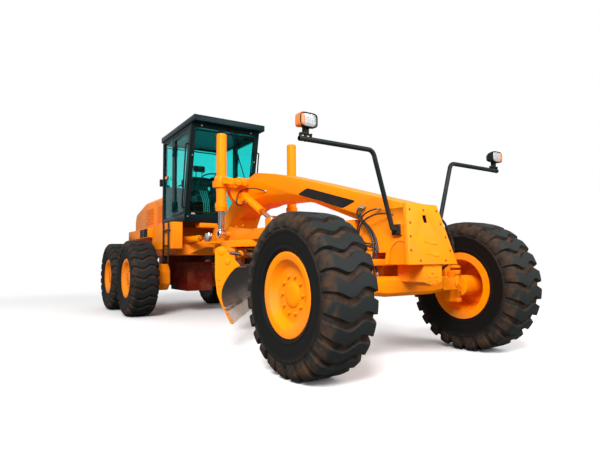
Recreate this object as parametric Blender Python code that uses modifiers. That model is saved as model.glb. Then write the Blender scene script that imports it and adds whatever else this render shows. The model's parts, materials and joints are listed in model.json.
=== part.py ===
"""Articulated motor grader with six wheels, a long arched front beam and a turning blade.

X points forward, Y to the machine's left and Z up. The origin is on the ground under the
middle of the machine. All lengths are in metres and all angles in degrees.
"""

import math

import bmesh
import bpy
from mathutils import Matrix, Vector

# Driving dimensions
LENGTH = 8.9
WHEELBASE = 6.2
TANDEM_SPACING = 1.54
TRACK = 2.17
TYRE_RADIUS = 0.677
TYRE_WIDTH = 0.475
CIRCLE_BEHIND_AXLE = 2.65
HITCH_BEHIND_CIRCLE = 1.5
BLADE_LENGTH = 3.66
BLADE_HEIGHT = 0.6
BLADE_GROUND_GAP = 0.31
BLADE_TURN = 55.5
NECK_TOP_HEIGHT = 2.2
REAR_FRAME_TOP = 1.26
CAB_ROOF_HEIGHT = 3.325

# Clearances, plates and round steps shared by all pieces
SEAT_GAP = 0.0003
RUNNING_GAP = 0.006
OVERRUN = 0.05
OVERLAP = 0.01
PLATE = 0.02
PIN_RADIUS = 0.03
EYE_RADIUS = 0.065
EYE_HALF = 0.035
RAM_EYE_HALF = 0.06
ROUND_STEPS = 12
SMALL_STEPS = 8
WHEEL_STEPS = 24
CIRCLE_STEPS = 32
BALL_STEPS = 8

# Stations worked out from the driving dimensions
FRONT_AXLE_X = LENGTH / 2 - TYRE_RADIUS
TANDEM_X = FRONT_AXLE_X - WHEELBASE
REAR_WHEEL_X = (TANDEM_X + TANDEM_SPACING / 2, TANDEM_X - TANDEM_SPACING / 2)
CIRCLE_X = FRONT_AXLE_X - CIRCLE_BEHIND_AXLE
HITCH_X = CIRCLE_X - HITCH_BEHIND_CIRCLE
WHEEL_Y = TRACK / 2
TAIL_X = -LENGTH / 2
SIDES = (("right", -1), ("left", 1))

MATERIAL_LOOKS = {
    "orange_paint": ((1.0, 0.36, 0.01), 0.35, 0.0),
    "cab_paint": ((0.012, 0.035, 0.04), 0.35, 0.0),
    "black_paint": ((0.015, 0.015, 0.016), 0.4, 0.0),
    "red_paint": ((0.25, 0.03, 0.02), 0.45, 0.0),
    "tyre_rubber": ((0.02, 0.018, 0.017), 0.8, 0.0),
    "bright_rod": ((0.8, 0.8, 0.8), 0.12, 1.0),
    "blade_steel": ((0.2, 0.2, 0.21), 0.4, 1.0),
    "glass": ((0.1, 0.6, 0.6), 0.05, 0.0),
    "seat_fabric": ((0.02, 0.02, 0.022), 0.9, 0.0),
}


# Scene set-up
for old in list(bpy.data.objects):
    bpy.data.objects.remove(old, do_unlink=True)
PARTS = bpy.data.collections.new("motor_grader")
GUIDES = bpy.data.collections.new("cutters")
bpy.context.scene.collection.children.link(PARTS)
bpy.context.scene.collection.children.link(GUIDES)


def material(look):
    """Return the named paint, rubber, metal or glass, made once."""
    found = bpy.data.materials.get(look)
    if found:
        return found
    colour, roughness, metallic = MATERIAL_LOOKS[look]
    made = bpy.data.materials.new(look)
    made.use_nodes = True
    shader = made.node_tree.nodes["Principled BSDF"]
    shader.inputs["Base Color"].default_value = (*colour, 1.0)
    shader.inputs["Roughness"].default_value = roughness
    shader.inputs["Metallic"].default_value = metallic
    return made


def around(middle, half):
    """The span from half below to half above a place."""
    return (middle - half, middle + half)


def outward(side, near, far):
    """The span between two distances from the middle plane, on one side of it."""
    return tuple(sorted((side * near, side * far)))


def mirrored(outline):
    """An outline of (place, half width) points, closed by its mirror image."""
    return outline + [(place, -half) for place, half in reversed(outline)]


def from_bmesh(build):
    """Put a finished bmesh in a new object of the cutters' collection."""
    bmesh.ops.recalc_face_normals(build, faces=build.faces[:])
    mesh = bpy.data.meshes.new("piece")
    build.to_mesh(mesh)
    build.free()
    made = bpy.data.objects.new("piece", mesh)
    made.hide_render = True
    made.display_type = "WIRE"
    GUIDES.objects.link(made)
    return made


def baked(source):
    """Turn a curve or a modified object into a plain mesh object."""
    bpy.context.view_layer.update()
    graph = bpy.context.evaluated_depsgraph_get()
    mesh = bpy.data.meshes.new_from_object(source.evaluated_get(graph))
    build = bmesh.new()
    build.from_mesh(mesh)
    build.transform(source.matrix_world)
    bmesh.ops.remove_doubles(build, verts=build.verts[:], dist=SEAT_GAP / 10)
    bpy.data.objects.remove(source, do_unlink=True)
    bpy.data.meshes.remove(mesh)
    return from_bmesh(build)


def block(x_span, y_span, z_span):
    """A box between two stations on each axis."""
    spans = [sorted(span) for span in (x_span, y_span, z_span)]
    build = bmesh.new()
    bmesh.ops.create_cube(build, size=1)
    sizes = [high - low for low, high in spans]
    middle = Vector([(low + high) / 2 for low, high in spans])
    bmesh.ops.scale(build, vec=sizes, verts=build.verts[:])
    bmesh.ops.translate(build, vec=middle, verts=build.verts[:])
    return from_bmesh(build)


def rod(start, end, radius, steps=ROUND_STEPS):
    """A round bar between two points."""
    start, end = Vector(start), Vector(end)
    along = end - start
    turn = Vector((0, 0, 1)).rotation_difference(along).to_matrix().to_4x4()
    build = bmesh.new()
    bmesh.ops.create_cone(build, cap_ends=True, segments=steps, radius1=radius, radius2=radius,
                          depth=along.length, matrix=Matrix.Translation((start + end) / 2) @ turn)
    return from_bmesh(build)


def plate(outline, span, plane="xz"):
    """A flat outline of (first, second) places, thick from one station to the other."""
    low, high = sorted(span)
    curve = bpy.data.curves.new("outline", "CURVE")
    curve.dimensions = "2D"
    curve.fill_mode = "BOTH"
    curve.extrude = (high - low) / 2
    spline = curve.splines.new("POLY")
    spline.points.add(len(outline) - 1)
    for point, (first, second) in zip(spline.points, outline):
        point.co = (first, second, 0, 1)
    spline.use_cyclic_u = True
    flat = bpy.data.objects.new("outline", curve)
    GUIDES.objects.link(flat)
    middle = (low + high) / 2
    if plane == "xz":
        flat.matrix_world = Matrix.Translation((0, middle, 0)) @ Matrix.Rotation(math.radians(90), 4, "X")
    elif plane == "yz":
        across = Matrix(((0, 0, 1, 0), (1, 0, 0, 0), (0, 1, 0, 0), (0, 0, 0, 1)))
        flat.matrix_world = Matrix.Translation((middle, 0, 0)) @ across
    else:
        flat.matrix_world = Matrix.Translation((0, 0, middle))
    return baked(flat)


def turned(profile, centre, axis, steps=ROUND_STEPS, closed=False):
    """A profile of (radius, height) places turned about an axis through the centre."""
    mesh = bpy.data.meshes.new("profile")
    count = len(profile)
    edges = [(step, step + 1) for step in range(count - 1)]
    if closed:
        edges.append((count - 1, 0))
    mesh.from_pydata([(radius, 0, height) for radius, height in profile], edges, [])
    made = bpy.data.objects.new("profile", mesh)
    GUIDES.objects.link(made)
    screw = made.modifiers.new("turn", "SCREW")
    screw.steps = steps
    screw.render_steps = steps
    screw.use_merge_vertices = True
    screw.merge_threshold = SEAT_GAP / 10
    turn = Vector((0, 0, 1)).rotation_difference(Vector(axis)).to_matrix().to_4x4()
    made.matrix_world = Matrix.Translation(Vector(centre)) @ turn
    return baked(made)


def ball(centre, radius):
    """A sphere about a point."""
    angles = [math.pi * step / BALL_STEPS for step in range(BALL_STEPS + 1)]
    profile = [(radius * math.sin(angle), radius * math.cos(angle)) for angle in angles]
    return turned(profile, centre, (0, 0, 1), SMALL_STEPS)


def tube(route, radius):
    """A bent round tube with closed ends along a route of points."""
    curve = bpy.data.curves.new("route", "CURVE")
    curve.dimensions = "3D"
    curve.bevel_depth = radius
    curve.bevel_resolution = 2
    curve.use_fill_caps = True
    spline = curve.splines.new("POLY")
    spline.points.add(len(route) - 1)
    for point, place in zip(spline.points, route):
        point.co = (*place, 1)
    made = bpy.data.objects.new("route", curve)
    GUIDES.objects.link(made)
    return baked(made)


def loft(sections):
    """A skin over rings of points that follow each other, closed at both ends."""
    build = bmesh.new()
    rings = [[build.verts.new(place) for place in section] for section in sections]
    count = len(rings[0])
    for near, far in zip(rings, rings[1:]):
        for step in range(count):
            following = (step + 1) % count
            build.faces.new((near[step], near[following], far[following], far[step]))
    build.faces.new(rings[0])
    build.faces.new(rings[-1])
    bmesh.ops.triangulate(build, faces=build.faces[:])
    return from_bmesh(build)


def tapered(*stations):
    """A box beam through stations along X, each a place, a half width and a height span."""
    rings = []
    for x, half, (low, high) in stations:
        rings.append([(x, -half, low), (x, half, low), (x, half, high), (x, -half, high)])
    return loft(rings)


def boolean(target, others, operation):
    """Add, on the target, one Boolean for each other piece."""
    for other in others:
        step = target.modifiers.new(operation.lower(), "BOOLEAN")
        step.operation = operation
        step.solver = "EXACT"
        step.object = other
    return target


def fuse(first, *others):
    """Join pieces that run into each other."""
    return boolean(first, others, "UNION")


def cut(target, *cutters):
    """Take the cutters out of the target."""
    return boolean(target, cutters, "DIFFERENCE")


def node(name, piece, look, pivot):
    """Keep a piece as a named sub-part, with its origin on its pivot."""
    piece.name = name
    piece.data.name = name
    piece.data.materials.clear()
    piece.data.materials.append(material(look))
    piece.data.transform(Matrix.Translation(-Vector(pivot)) @ piece.matrix_world)
    piece.matrix_world = Matrix.Translation(Vector(pivot))
    piece.hide_render = False
    piece.display_type = "TEXTURED"
    GUIDES.objects.unlink(piece)
    PARTS.objects.link(piece)
    return piece


# Wheels: one lugged tyre and one dished rim at each of six places
LUG_HEIGHT = 0.033
RIM_RADIUS = 0.3175
RIM_FLANGE_RADIUS = 0.349
RIM_WIDTH = 0.40
RIM_LIP = 0.015
RIM_OPENING_RADIUS = 0.276
RIM_DISC_RADIUS = 0.235
RIM_DISC_DEPTH = 0.071
RIM_DISC_THICKNESS = 0.022
RIM_CAP_RADIUS = 0.105
RIM_CAP_HEIGHT = 0.025
# Side wall: share of the height from bead to tread, then share of the half width
SIDE_WALL_SHARES = ((0.40, 0.99), (0.68, 1.0))
# Stations round one lug: share of its pitch, then share of its height
LUG_STATION_SHARES = ((0.17, 0), (0.36, 1), (0.98, 1))
# Rings across the tread: share of the half width, share of the pitch that a lug strays, share of its drop
TREAD_RING_SHARES = ((-0.88, 0, 1), (-0.28, -0.30, 0), (0.32, 0.12, 0), (0.88, -0.14, 1))
SHOULDER_DROP = 0.02

HUB_FACE_Y = WHEEL_Y + RIM_WIDTH / 2 - RIM_DISC_DEPTH - RIM_DISC_THICKNESS - SEAT_GAP


def wheel_ring(build, radii, offset, stray=0):
    """Vertices round the wheel's axis, one for each (share of a lug's pitch, radius) of every lug."""
    ring = []
    for lug in range(WHEEL_STEPS):
        for share, radius in radii:
            angle = 2 * math.pi * (lug + share + stray) / WHEEL_STEPS
            ring.append(build.verts.new((radius * math.cos(angle), offset, radius * math.sin(angle))))
    return ring


def bridge(build, near, far):
    """Faces between two rings with the same number of vertices."""
    for step in range(len(near)):
        following = (step + 1) % len(near)
        build.faces.new((near[step], near[following], far[following], far[step]))


def tyre(name, centre, side):
    """A tyre with a bead on its rim, bulging side walls and lugs that wave across the tread."""
    build = bmesh.new()
    bead_radius = RIM_RADIUS + SEAT_GAP
    height = TYRE_RADIUS - bead_radius
    bead = RIM_WIDTH / 2 - RIM_LIP - SEAT_GAP
    walls = []
    for hand in (-1, 1):
        wall = [wheel_ring(build, [(0, radius)], hand * bead)
                for radius in (bead_radius, RIM_FLANGE_RADIUS + SEAT_GAP)]
        for rise, width in SIDE_WALL_SHARES:
            wall.append(wheel_ring(build, [(0, bead_radius + rise * height)], hand * width * TYRE_WIDTH / 2))
        for near, far in zip(wall, wall[1:]):
            bridge(build, near, far)
        walls.append(wall)
    tread = []
    for width, stray, drop in TREAD_RING_SHARES:
        floor = TYRE_RADIUS - LUG_HEIGHT - drop * SHOULDER_DROP
        radii = [(share, floor + rise * LUG_HEIGHT) for share, rise in LUG_STATION_SHARES]
        tread.append(wheel_ring(build, radii, side * width * TYRE_WIDTH / 2, stray))
    for near, far in zip(tread, tread[1:]):
        bridge(build, near, far)
    if side < 0:
        tread.reverse()
    stations = len(LUG_STATION_SHARES)
    for wall, edge in ((walls[0][-1], tread[0]), (walls[1][-1], tread[-1])):
        for lug in range(WHEEL_STEPS):
            here, there = wall[lug], wall[(lug + 1) % WHEEL_STEPS]
            first, second, third, fourth = [edge[(lug * stations + step) % len(edge)]
                                            for step in range(stations + 1)]
            build.faces.new((here, first, second))
            build.faces.new((here, second, third))
            build.faces.new((here, third, there))
            build.faces.new((there, third, fourth))
    bridge(build, walls[0][0], walls[1][0])
    bmesh.ops.triangulate(build, faces=build.faces[:])
    bmesh.ops.translate(build, vec=centre, verts=build.verts[:])
    return node(name, from_bmesh(build), "tyre_rubber", centre)


def rim(name, centre, side):
    """A dished rim whose disc closes it and carries the hub's cap."""
    half = RIM_WIDTH / 2
    base = RIM_RADIUS - SEAT_GAP
    bead = half - RIM_LIP
    face = half - RIM_DISC_DEPTH
    cap = face + RIM_CAP_HEIGHT
    profile = [(0, cap), (RIM_CAP_RADIUS, cap), (RIM_CAP_RADIUS, face), (RIM_DISC_RADIUS, face),
               (RIM_OPENING_RADIUS, half), (RIM_FLANGE_RADIUS, half), (RIM_FLANGE_RADIUS, bead),
               (base, bead),
               (base, -bead), (RIM_FLANGE_RADIUS, -bead), (RIM_FLANGE_RADIUS, -half),
               (RIM_OPENING_RADIUS, -half),
               (RIM_DISC_RADIUS, face - RIM_DISC_THICKNESS), (0, face - RIM_DISC_THICKNESS)]
    return node(name, turned(profile, centre, (0, side, 0), WHEEL_STEPS), "orange_paint", centre)


for side_name, side in SIDES:
    for place, wheel_x in zip(("front", "middle", "rear"), (FRONT_AXLE_X, *REAR_WHEEL_X)):
        wheel_centre = (wheel_x, side * WHEEL_Y, TYRE_RADIUS)
        tyre(f"{place}_tyre_{side_name}", wheel_centre, side)
        rim(f"{place}_rim_{side_name}", wheel_centre, side)


# Front beam: the lofted box neck, the nose with its inclined plate, the saddle and the hitch fork
NECK_LENGTH = CIRCLE_BEHIND_AXLE + HITCH_BEHIND_CIRCLE
NECK_WIDTH = 0.34
# Share of the way back from axle to hitch and of the top's height, for top and underside, then of the width
NECK_SHARES = ((-0.046, 0.670, -0.043, 0.527, 1.00), (0.164, 0.788, 0.145, 0.643, 1.00),
               (0.300, 0.859, 0.301, 0.744, 1.00), (0.489, 0.956, 0.386, 0.773, 1.10),
               (0.610, 1.000, 0.554, 0.791, 1.20), (0.661, 0.976, 0.654, 0.782, 1.25),
               (0.700, 0.945, 0.771, 0.727, 1.30), (0.795, 0.820, 0.824, 0.591, 1.45),
               (0.862, 0.720, 0.855, 0.520, 1.60), (0.904, 0.682, 0.904, 0.500, 1.80))
NECK_KNEE_SHARE = 0.24
NECK_KEEL_SHARE = 0.62
NOSE_FRONT = 0.421
NOSE_RAKE = 0.129
NOSE_TOP = 1.459
NOSE_BOTTOM = 0.909
NOSE_BACK = 0.34
NOSE_TOP_HALF = 0.203
NOSE_BOTTOM_HALF = 0.315
NOSE_PLATE = 0.03
NOSE_SLOT_HALF = 0.024
NOSE_SLOT_LOW = 1.283
NOSE_SLOT_HIGH = 1.353
NOSE_SLOT_DEPTH = 0.08
ARCH_REAR = 0.13
ARCH_FRONT = 0.36
ARCH_HEIGHT = 0.21
ARCH_DEPTH = 0.05
ARCH_STEPS = 8
LINK_TUNNEL_HALF = 0.09
LINK_TUNNEL_HEIGHT = 0.11
ARM_BASE_X = 0.22
ARM_BASE_Y = 0.245
ARM_BASE_Z = 1.22
ARM_PAD_HALF = 0.05
HITCH_PIN_RADIUS = 0.06
HITCH_BOSS_RADIUS = 0.15
HITCH_FORK_TOP = 1.50
HITCH_FORK_BOTTOM = 1.10
HITCH_FORK_LEAF = 0.09
SADDLE_BEHIND_CIRCLE = 0.19
SADDLE_HALF_WIDTH = 0.36
SADDLE_HALF_DEPTH = 0.11
SADDLE_DROP = 0.13
SADDLE_HALF_HEIGHT = 0.075
YOKE_INNER = 0.15
YOKE_OUTER = 0.19
YOKE_HALF_HEIGHT = 0.045
YOKE_ROOT_Y = 0.28
YOKE_TIP_Y = 0.645
LOCK_CAP_Y = 0.43
LOCK_CAP_RADIUS = 0.055
LOCK_CAP_FRONT = 0.225
LIFT_CYLINDER_Y = 0.589
BALL_BEHIND_AXLE = 0.47
BALL_HEIGHT = 1.0
BALL_RADIUS = 0.07
ARTICULATION_PIN_REACH = 0.52
ARTICULATION_PIN_Y = 0.45
ARTICULATION_PIN_RADIUS = 0.045
CENTRE_CYLINDER_Y = -0.30
CENTRE_PIN_DROP = 0.21
CENTRE_PIN_RADIUS = 0.045

SADDLE_X = CIRCLE_X - SADDLE_BEHIND_CIRCLE
SADDLE_HEIGHT = NECK_TOP_HEIGHT - SADDLE_DROP
CENTRE_PIN_HEIGHT = SADDLE_HEIGHT - CENTRE_PIN_DROP
BALL_X = FRONT_AXLE_X - BALL_BEHIND_AXLE
FORK_ROOT_X = FRONT_AXLE_X - NECK_SHARES[-1][0] * NECK_LENGTH + HITCH_BOSS_RADIUS
ARTICULATION_SEAT_Z = REAR_FRAME_TOP + PLATE


def neck_section(top_share, top_height, low_share, low_height, width_share):
    """One slanted ring of the neck from its shares, drawn in below its knee."""
    half = width_share * NECK_WIDTH / 2
    keel = half * NECK_KEEL_SHARE
    top = Vector((FRONT_AXLE_X - top_share * NECK_LENGTH, 0, top_height * NECK_TOP_HEIGHT))
    low = Vector((FRONT_AXLE_X - low_share * NECK_LENGTH, 0, low_height * NECK_TOP_HEIGHT))
    knee = low.lerp(top, NECK_KNEE_SHARE)
    across = [(top, -half), (top, half), (knee, half), (low, keel), (low, -keel), (knee, -half)]
    return [(place.x, y, place.z) for place, y in across]


def nose_block():
    """The bolster under the beam's front end, widening downward like its plate."""
    front_low = FRONT_AXLE_X + NOSE_FRONT
    front_top = front_low - NOSE_RAKE
    back = FRONT_AXLE_X - NOSE_BACK
    body_top = NOSE_TOP - NOSE_PLATE
    low_half = NOSE_BOTTOM_HALF - NOSE_PLATE
    top_half = NOSE_TOP_HALF - NOSE_PLATE
    body = []
    for low_x, top_x in ((back, back), (front_low - NOSE_PLATE, front_top - NOSE_PLATE)):
        body.append([(low_x, -low_half, NOSE_BOTTOM), (low_x, low_half, NOSE_BOTTOM),
                     (top_x, top_half, body_top), (top_x, -top_half, body_top)])
    face = []
    for step in (NOSE_PLATE + OVERLAP, 0):
        low_x, top_x = front_low - step, front_top - step
        face.append([(low_x, -NOSE_BOTTOM_HALF, NOSE_BOTTOM), (low_x, NOSE_BOTTOM_HALF, NOSE_BOTTOM),
                     (top_x, NOSE_TOP_HALF, NOSE_TOP), (top_x, -NOSE_TOP_HALF, NOSE_TOP)])
    tunnel = block(around(FRONT_AXLE_X, LINK_TUNNEL_HALF), around(0, NOSE_BOTTOM_HALF),
                   (NOSE_BOTTOM - OVERRUN, NOSE_BOTTOM + LINK_TUNNEL_HEIGHT))
    slot = block((front_top - NOSE_SLOT_DEPTH, front_low), around(0, NOSE_SLOT_HALF),
                 (NOSE_SLOT_LOW, NOSE_SLOT_HIGH))
    middle = FRONT_AXLE_X + (ARCH_REAR + ARCH_FRONT) / 2
    reach = (ARCH_FRONT - ARCH_REAR) / 2
    arch = [(middle - reach, NOSE_BOTTOM - OVERRUN)]
    for step in range(ARCH_STEPS + 1):
        angle = math.pi * step / ARCH_STEPS
        arch.append((middle - reach * math.cos(angle),
                     NOSE_BOTTOM + ARCH_HEIGHT - reach + reach * math.sin(angle)))
    arch.append((middle + reach, NOSE_BOTTOM - OVERRUN))
    pads, hollows = [], []
    for _, side in SIDES:
        pads.append(block(around(FRONT_AXLE_X + ARM_BASE_X, ARM_PAD_HALF),
                          outward(side, top_half / 2, ARM_BASE_Y),
                          around(ARM_BASE_Z, ARM_PAD_HALF)))
        hollows.append(plate(arch, outward(side, low_half - ARCH_DEPTH, NOSE_BOTTOM_HALF + OVERRUN)))
    return cut(fuse(loft(body), loft(face), *pads), tunnel, slot, *hollows)


def saddle():
    """The cross piece over the beam, with a fork at each end for a lift cylinder's yoke."""
    level = around(SADDLE_HEIGHT, SADDLE_HALF_HEIGHT)
    pieces = [block(around(SADDLE_X, SADDLE_HALF_DEPTH), around(0, SADDLE_HALF_WIDTH), level)]
    for _, side in SIDES:
        pieces.append(block(around(SADDLE_X, YOKE_OUTER), outward(side, YOKE_ROOT_Y, SADDLE_HALF_WIDTH),
                            around(SADDLE_HEIGHT, YOKE_HALF_HEIGHT)))
        for hand in (-1, 1):
            leaf = sorted((SADDLE_X + hand * YOKE_INNER, SADDLE_X + hand * YOKE_OUTER))
            pieces.append(block(leaf, outward(side, YOKE_ROOT_Y + OVERLAP, YOKE_TIP_Y),
                                around(SADDLE_HEIGHT, YOKE_HALF_HEIGHT - SEAT_GAP)))
        pieces.append(rod((SADDLE_X + YOKE_OUTER - OVERLAP, side * LOCK_CAP_Y, SADDLE_HEIGHT),
                          (SADDLE_X + LOCK_CAP_FRONT, side * LOCK_CAP_Y, SADDLE_HEIGHT), LOCK_CAP_RADIUS,
                          SMALL_STEPS))
    return pieces


def front_frame():
    """The whole front beam as one welded piece."""
    pieces = [nose_block(), *saddle()]
    root_half = NECK_SHARES[-1][4] * NECK_WIDTH * NECK_KEEL_SHARE / 2
    for low, high in ((HITCH_FORK_BOTTOM, HITCH_FORK_BOTTOM + HITCH_FORK_LEAF),
                      (HITCH_FORK_TOP - HITCH_FORK_LEAF, HITCH_FORK_TOP)):
        pieces.append(tapered((FORK_ROOT_X, root_half, (low, high)),
                              (HITCH_X, HITCH_BOSS_RADIUS - OVERLAP, (low, high))))
        pieces.append(rod((HITCH_X, 0, low - SEAT_GAP), (HITCH_X, 0, high + SEAT_GAP), HITCH_BOSS_RADIUS))
    pieces.append(rod((HITCH_X, 0, HITCH_FORK_BOTTOM + OVERLAP), (HITCH_X, 0, HITCH_FORK_TOP - OVERLAP),
                      HITCH_PIN_RADIUS))
    pieces.append(rod((BALL_X, 0, BALL_HEIGHT), (FRONT_AXLE_X - NOSE_BACK + OVERLAP, 0, BALL_HEIGHT),
                      BALL_RADIUS / 2))
    pieces.append(ball((BALL_X, 0, BALL_HEIGHT), BALL_RADIUS))
    pieces.append(rod((CIRCLE_X, 0, CENTRE_PIN_HEIGHT),
                      (CIRCLE_X, CENTRE_CYLINDER_Y + RAM_EYE_HALF + SEAT_GAP, CENTRE_PIN_HEIGHT),
                      CENTRE_PIN_RADIUS))
    pin_x = HITCH_X + ARTICULATION_PIN_REACH
    lug_low = ARTICULATION_SEAT_Z - PLATE * 2
    for _, side in SIDES:
        pin_y = side * ARTICULATION_PIN_Y
        pieces.append(block((pin_x - PIN_RADIUS, pin_x + PIN_RADIUS * 3),
                            outward(side, OVERLAP, ARTICULATION_PIN_Y),
                            (lug_low, ARTICULATION_SEAT_Z - SEAT_GAP)))
        pieces.append(rod((pin_x, pin_y, lug_low - SEAT_GAP), (pin_x, pin_y, ARTICULATION_SEAT_Z),
                          ARTICULATION_PIN_RADIUS, SMALL_STEPS))
    beam = loft([neck_section(*shares) for shares in NECK_SHARES])
    return node("front_frame", fuse(beam, *pieces), "orange_paint", (HITCH_X, 0, ARTICULATION_SEAT_Z))


front_frame()

# Front axle: beam, pivot block, leaning forks with their link, and steered knuckles
AXLE_HALF_LENGTH = 0.565
AXLE_MIDDLE_HALF = 0.30
AXLE_FRONT = 0.14
AXLE_BACK = 0.10
AXLE_TOP = 0.80
AXLE_BOTTOM = 0.62
AXLE_END_RISE = 0.03
AXLE_CHAMFER = 0.035
AXLE_CHEEK = 0.03
CHEEK_ROOT_Y = 0.45
CHEEK_TIP_Y = 0.70
CHEEK_TIP_HALF = 0.045
PIVOT_BLOCK_FRONT = 0.40
PIVOT_BLOCK_BACK = 0.25
PIVOT_BLOCK_HALF = 0.12
PIVOT_BLOCK_SIDE_LOW = 0.755
PIVOT_BLOCK_TIP = 0.719
LEAN_PIVOT_Y = 0.66
LEAN_PIVOT_Z = 0.71
LEAN_LINK_Z = 0.93
LEAN_LINK_HALF_DEPTH = 0.03
LEAN_LINK_HALF_WIDTH = 0.04
LEAN_LUG_HALF = 0.02
FORK_BOSS_RADIUS = 0.055
FORK_HALF_DEPTH = 0.045
FORK_PLATE_Y = 0.735
KINGPIN_Y = 0.81
KNUCKLE_RADIUS = 0.05
KNUCKLE_HALF_HEIGHT = 0.12
FORK_ARM = 0.035
FORK_ARM_RADIUS = 0.06
HUB_RADIUS = 0.11
HUB_FLANGE_RADIUS = 0.19
HUB_FLANGE = 0.025


def front_axle():
    """The oscillating beam with its chamfered section, its pivot block and its end cheeks."""
    back, front = FRONT_AXLE_X - AXLE_BACK, FRONT_AXLE_X + AXLE_FRONT
    rings = []
    for y, rise in ((-AXLE_HALF_LENGTH, AXLE_END_RISE), (-AXLE_MIDDLE_HALF, 0), (AXLE_MIDDLE_HALF, 0),
                    (AXLE_HALF_LENGTH, AXLE_END_RISE)):
        low, high = AXLE_BOTTOM + rise, AXLE_TOP - rise / 2
        corners = [(back + AXLE_CHAMFER, low), (front - AXLE_CHAMFER, low), (front, low + AXLE_CHAMFER),
                   (front, high - AXLE_CHAMFER), (front - AXLE_CHAMFER, high), (back + AXLE_CHAMFER, high),
                   (back, high - AXLE_CHAMFER), (back, low + AXLE_CHAMFER)]
        rings.append([(x, y, z) for x, z in corners])
    top = NOSE_BOTTOM - SEAT_GAP
    pentagon = [(-PIVOT_BLOCK_HALF, top), (PIVOT_BLOCK_HALF, top), (PIVOT_BLOCK_HALF, PIVOT_BLOCK_SIDE_LOW),
                (0, PIVOT_BLOCK_TIP), (-PIVOT_BLOCK_HALF, PIVOT_BLOCK_SIDE_LOW)]
    pieces = [plate(pentagon, (FRONT_AXLE_X - PIVOT_BLOCK_BACK, FRONT_AXLE_X - LINK_TUNNEL_HALF), "yz"),
              plate(pentagon, (FRONT_AXLE_X + LINK_TUNNEL_HALF, FRONT_AXLE_X + PIVOT_BLOCK_FRONT), "yz")]
    for _, side in SIDES:
        outline = [(side * CHEEK_ROOT_Y, AXLE_TOP - AXLE_END_RISE),
                   (side * LEAN_PIVOT_Y, AXLE_TOP - AXLE_END_RISE),
                   (side * CHEEK_TIP_Y, LEAN_PIVOT_Z + CHEEK_TIP_HALF),
                   (side * CHEEK_TIP_Y, LEAN_PIVOT_Z - CHEEK_TIP_HALF),
                   (side * LEAN_PIVOT_Y, AXLE_BOTTOM + AXLE_END_RISE),
                   (side * CHEEK_ROOT_Y, AXLE_BOTTOM + AXLE_END_RISE)]
        for low, high in ((back, back + AXLE_CHEEK), (front - AXLE_CHEEK, front)):
            pieces.append(plate(outline, (low - SEAT_GAP, high + SEAT_GAP), "yz"))
    return node("front_axle", fuse(loft(rings), *pieces), "orange_paint", (FRONT_AXLE_X, 0, AXLE_TOP))


def lean_fork(side_name, side):
    """The C-shaped carrier that leans on the beam's end and holds the kingpin."""
    pivot_y = side * LEAN_PIVOT_Y
    boss = rod((FRONT_AXLE_X - AXLE_BACK + AXLE_CHEEK + 2 * SEAT_GAP, pivot_y, LEAN_PIVOT_Z),
               (FRONT_AXLE_X + AXLE_FRONT - AXLE_CHEEK - 2 * SEAT_GAP, pivot_y, LEAN_PIVOT_Z),
               FORK_BOSS_RADIUS)
    depth = around(FRONT_AXLE_X, FORK_HALF_DEPTH)
    web = block(depth, outward(side, LEAN_PIVOT_Y + OVERLAP, FORK_PLATE_Y + PLATE),
                around(TYRE_RADIUS, KNUCKLE_HALF_HEIGHT + FORK_ARM))
    lug = block(around(FRONT_AXLE_X, LEAN_LUG_HALF),
                outward(side, LEAN_PIVOT_Y - PIN_RADIUS, FORK_PLATE_Y - PLATE),
                (LEAN_PIVOT_Z, LEAN_LINK_Z + PIN_RADIUS))
    arms = []
    for level in (-1, 1):
        near = TYRE_RADIUS + level * (KNUCKLE_HALF_HEIGHT + SEAT_GAP)
        far = near + level * FORK_ARM
        arms.append(block(depth, outward(side, FORK_PLATE_Y - OVERLAP, KINGPIN_Y), (near, far)))
        arms.append(rod((FRONT_AXLE_X, side * KINGPIN_Y, near),
                        (FRONT_AXLE_X, side * KINGPIN_Y, far + level * OVERLAP), FORK_ARM_RADIUS))
    return node(f"lean_fork_{side_name}", fuse(boss, web, lug, *arms), "orange_paint",
                (FRONT_AXLE_X, pivot_y, LEAN_PIVOT_Z))


def knuckle(side_name, side):
    """The steered kingpin block with its spindle and hub flange."""
    def spot(y, rise=0):
        return (FRONT_AXLE_X, side * y, TYRE_RADIUS + rise)

    pin = rod(spot(KINGPIN_Y, -KNUCKLE_HALF_HEIGHT), spot(KINGPIN_Y, KNUCKLE_HALF_HEIGHT), KNUCKLE_RADIUS)
    neck = rod(spot(KINGPIN_Y), spot(KINGPIN_Y + HUB_RADIUS), KNUCKLE_RADIUS - OVERLAP)
    spindle = rod(spot(KINGPIN_Y + KNUCKLE_RADIUS), spot(HUB_FACE_Y - OVERLAP), HUB_RADIUS)
    flange = rod(spot(HUB_FACE_Y - HUB_FLANGE), spot(HUB_FACE_Y), HUB_FLANGE_RADIUS)
    return node(f"knuckle_{side_name}", fuse(pin, spindle, flange, neck), "orange_paint", spot(KINGPIN_Y))


def lean_link():
    """The bar across the axle that makes both forks lean together."""
    reach = LEAN_PIVOT_Y + PIN_RADIUS
    inner = LEAN_PIVOT_Y - PIN_RADIUS - RUNNING_GAP * 3
    level = around(LEAN_LINK_Z, LEAN_LINK_HALF_DEPTH)
    bar = block(around(FRONT_AXLE_X, LEAN_LINK_HALF_WIDTH), around(0, reach), level)
    slots = [block(around(FRONT_AXLE_X, LEAN_LUG_HALF + SEAT_GAP), outward(side, inner, reach + OVERRUN),
                   around(LEAN_LINK_Z, LEAN_LINK_HALF_DEPTH + OVERRUN)) for _, side in SIDES]
    return node("lean_link", cut(bar, *slots), "orange_paint", (FRONT_AXLE_X, 0, LEAN_LINK_Z))


front_axle()
for side_name, side in SIDES:
    lean_fork(side_name, side)
    knuckle(side_name, side)
lean_link()

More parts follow.
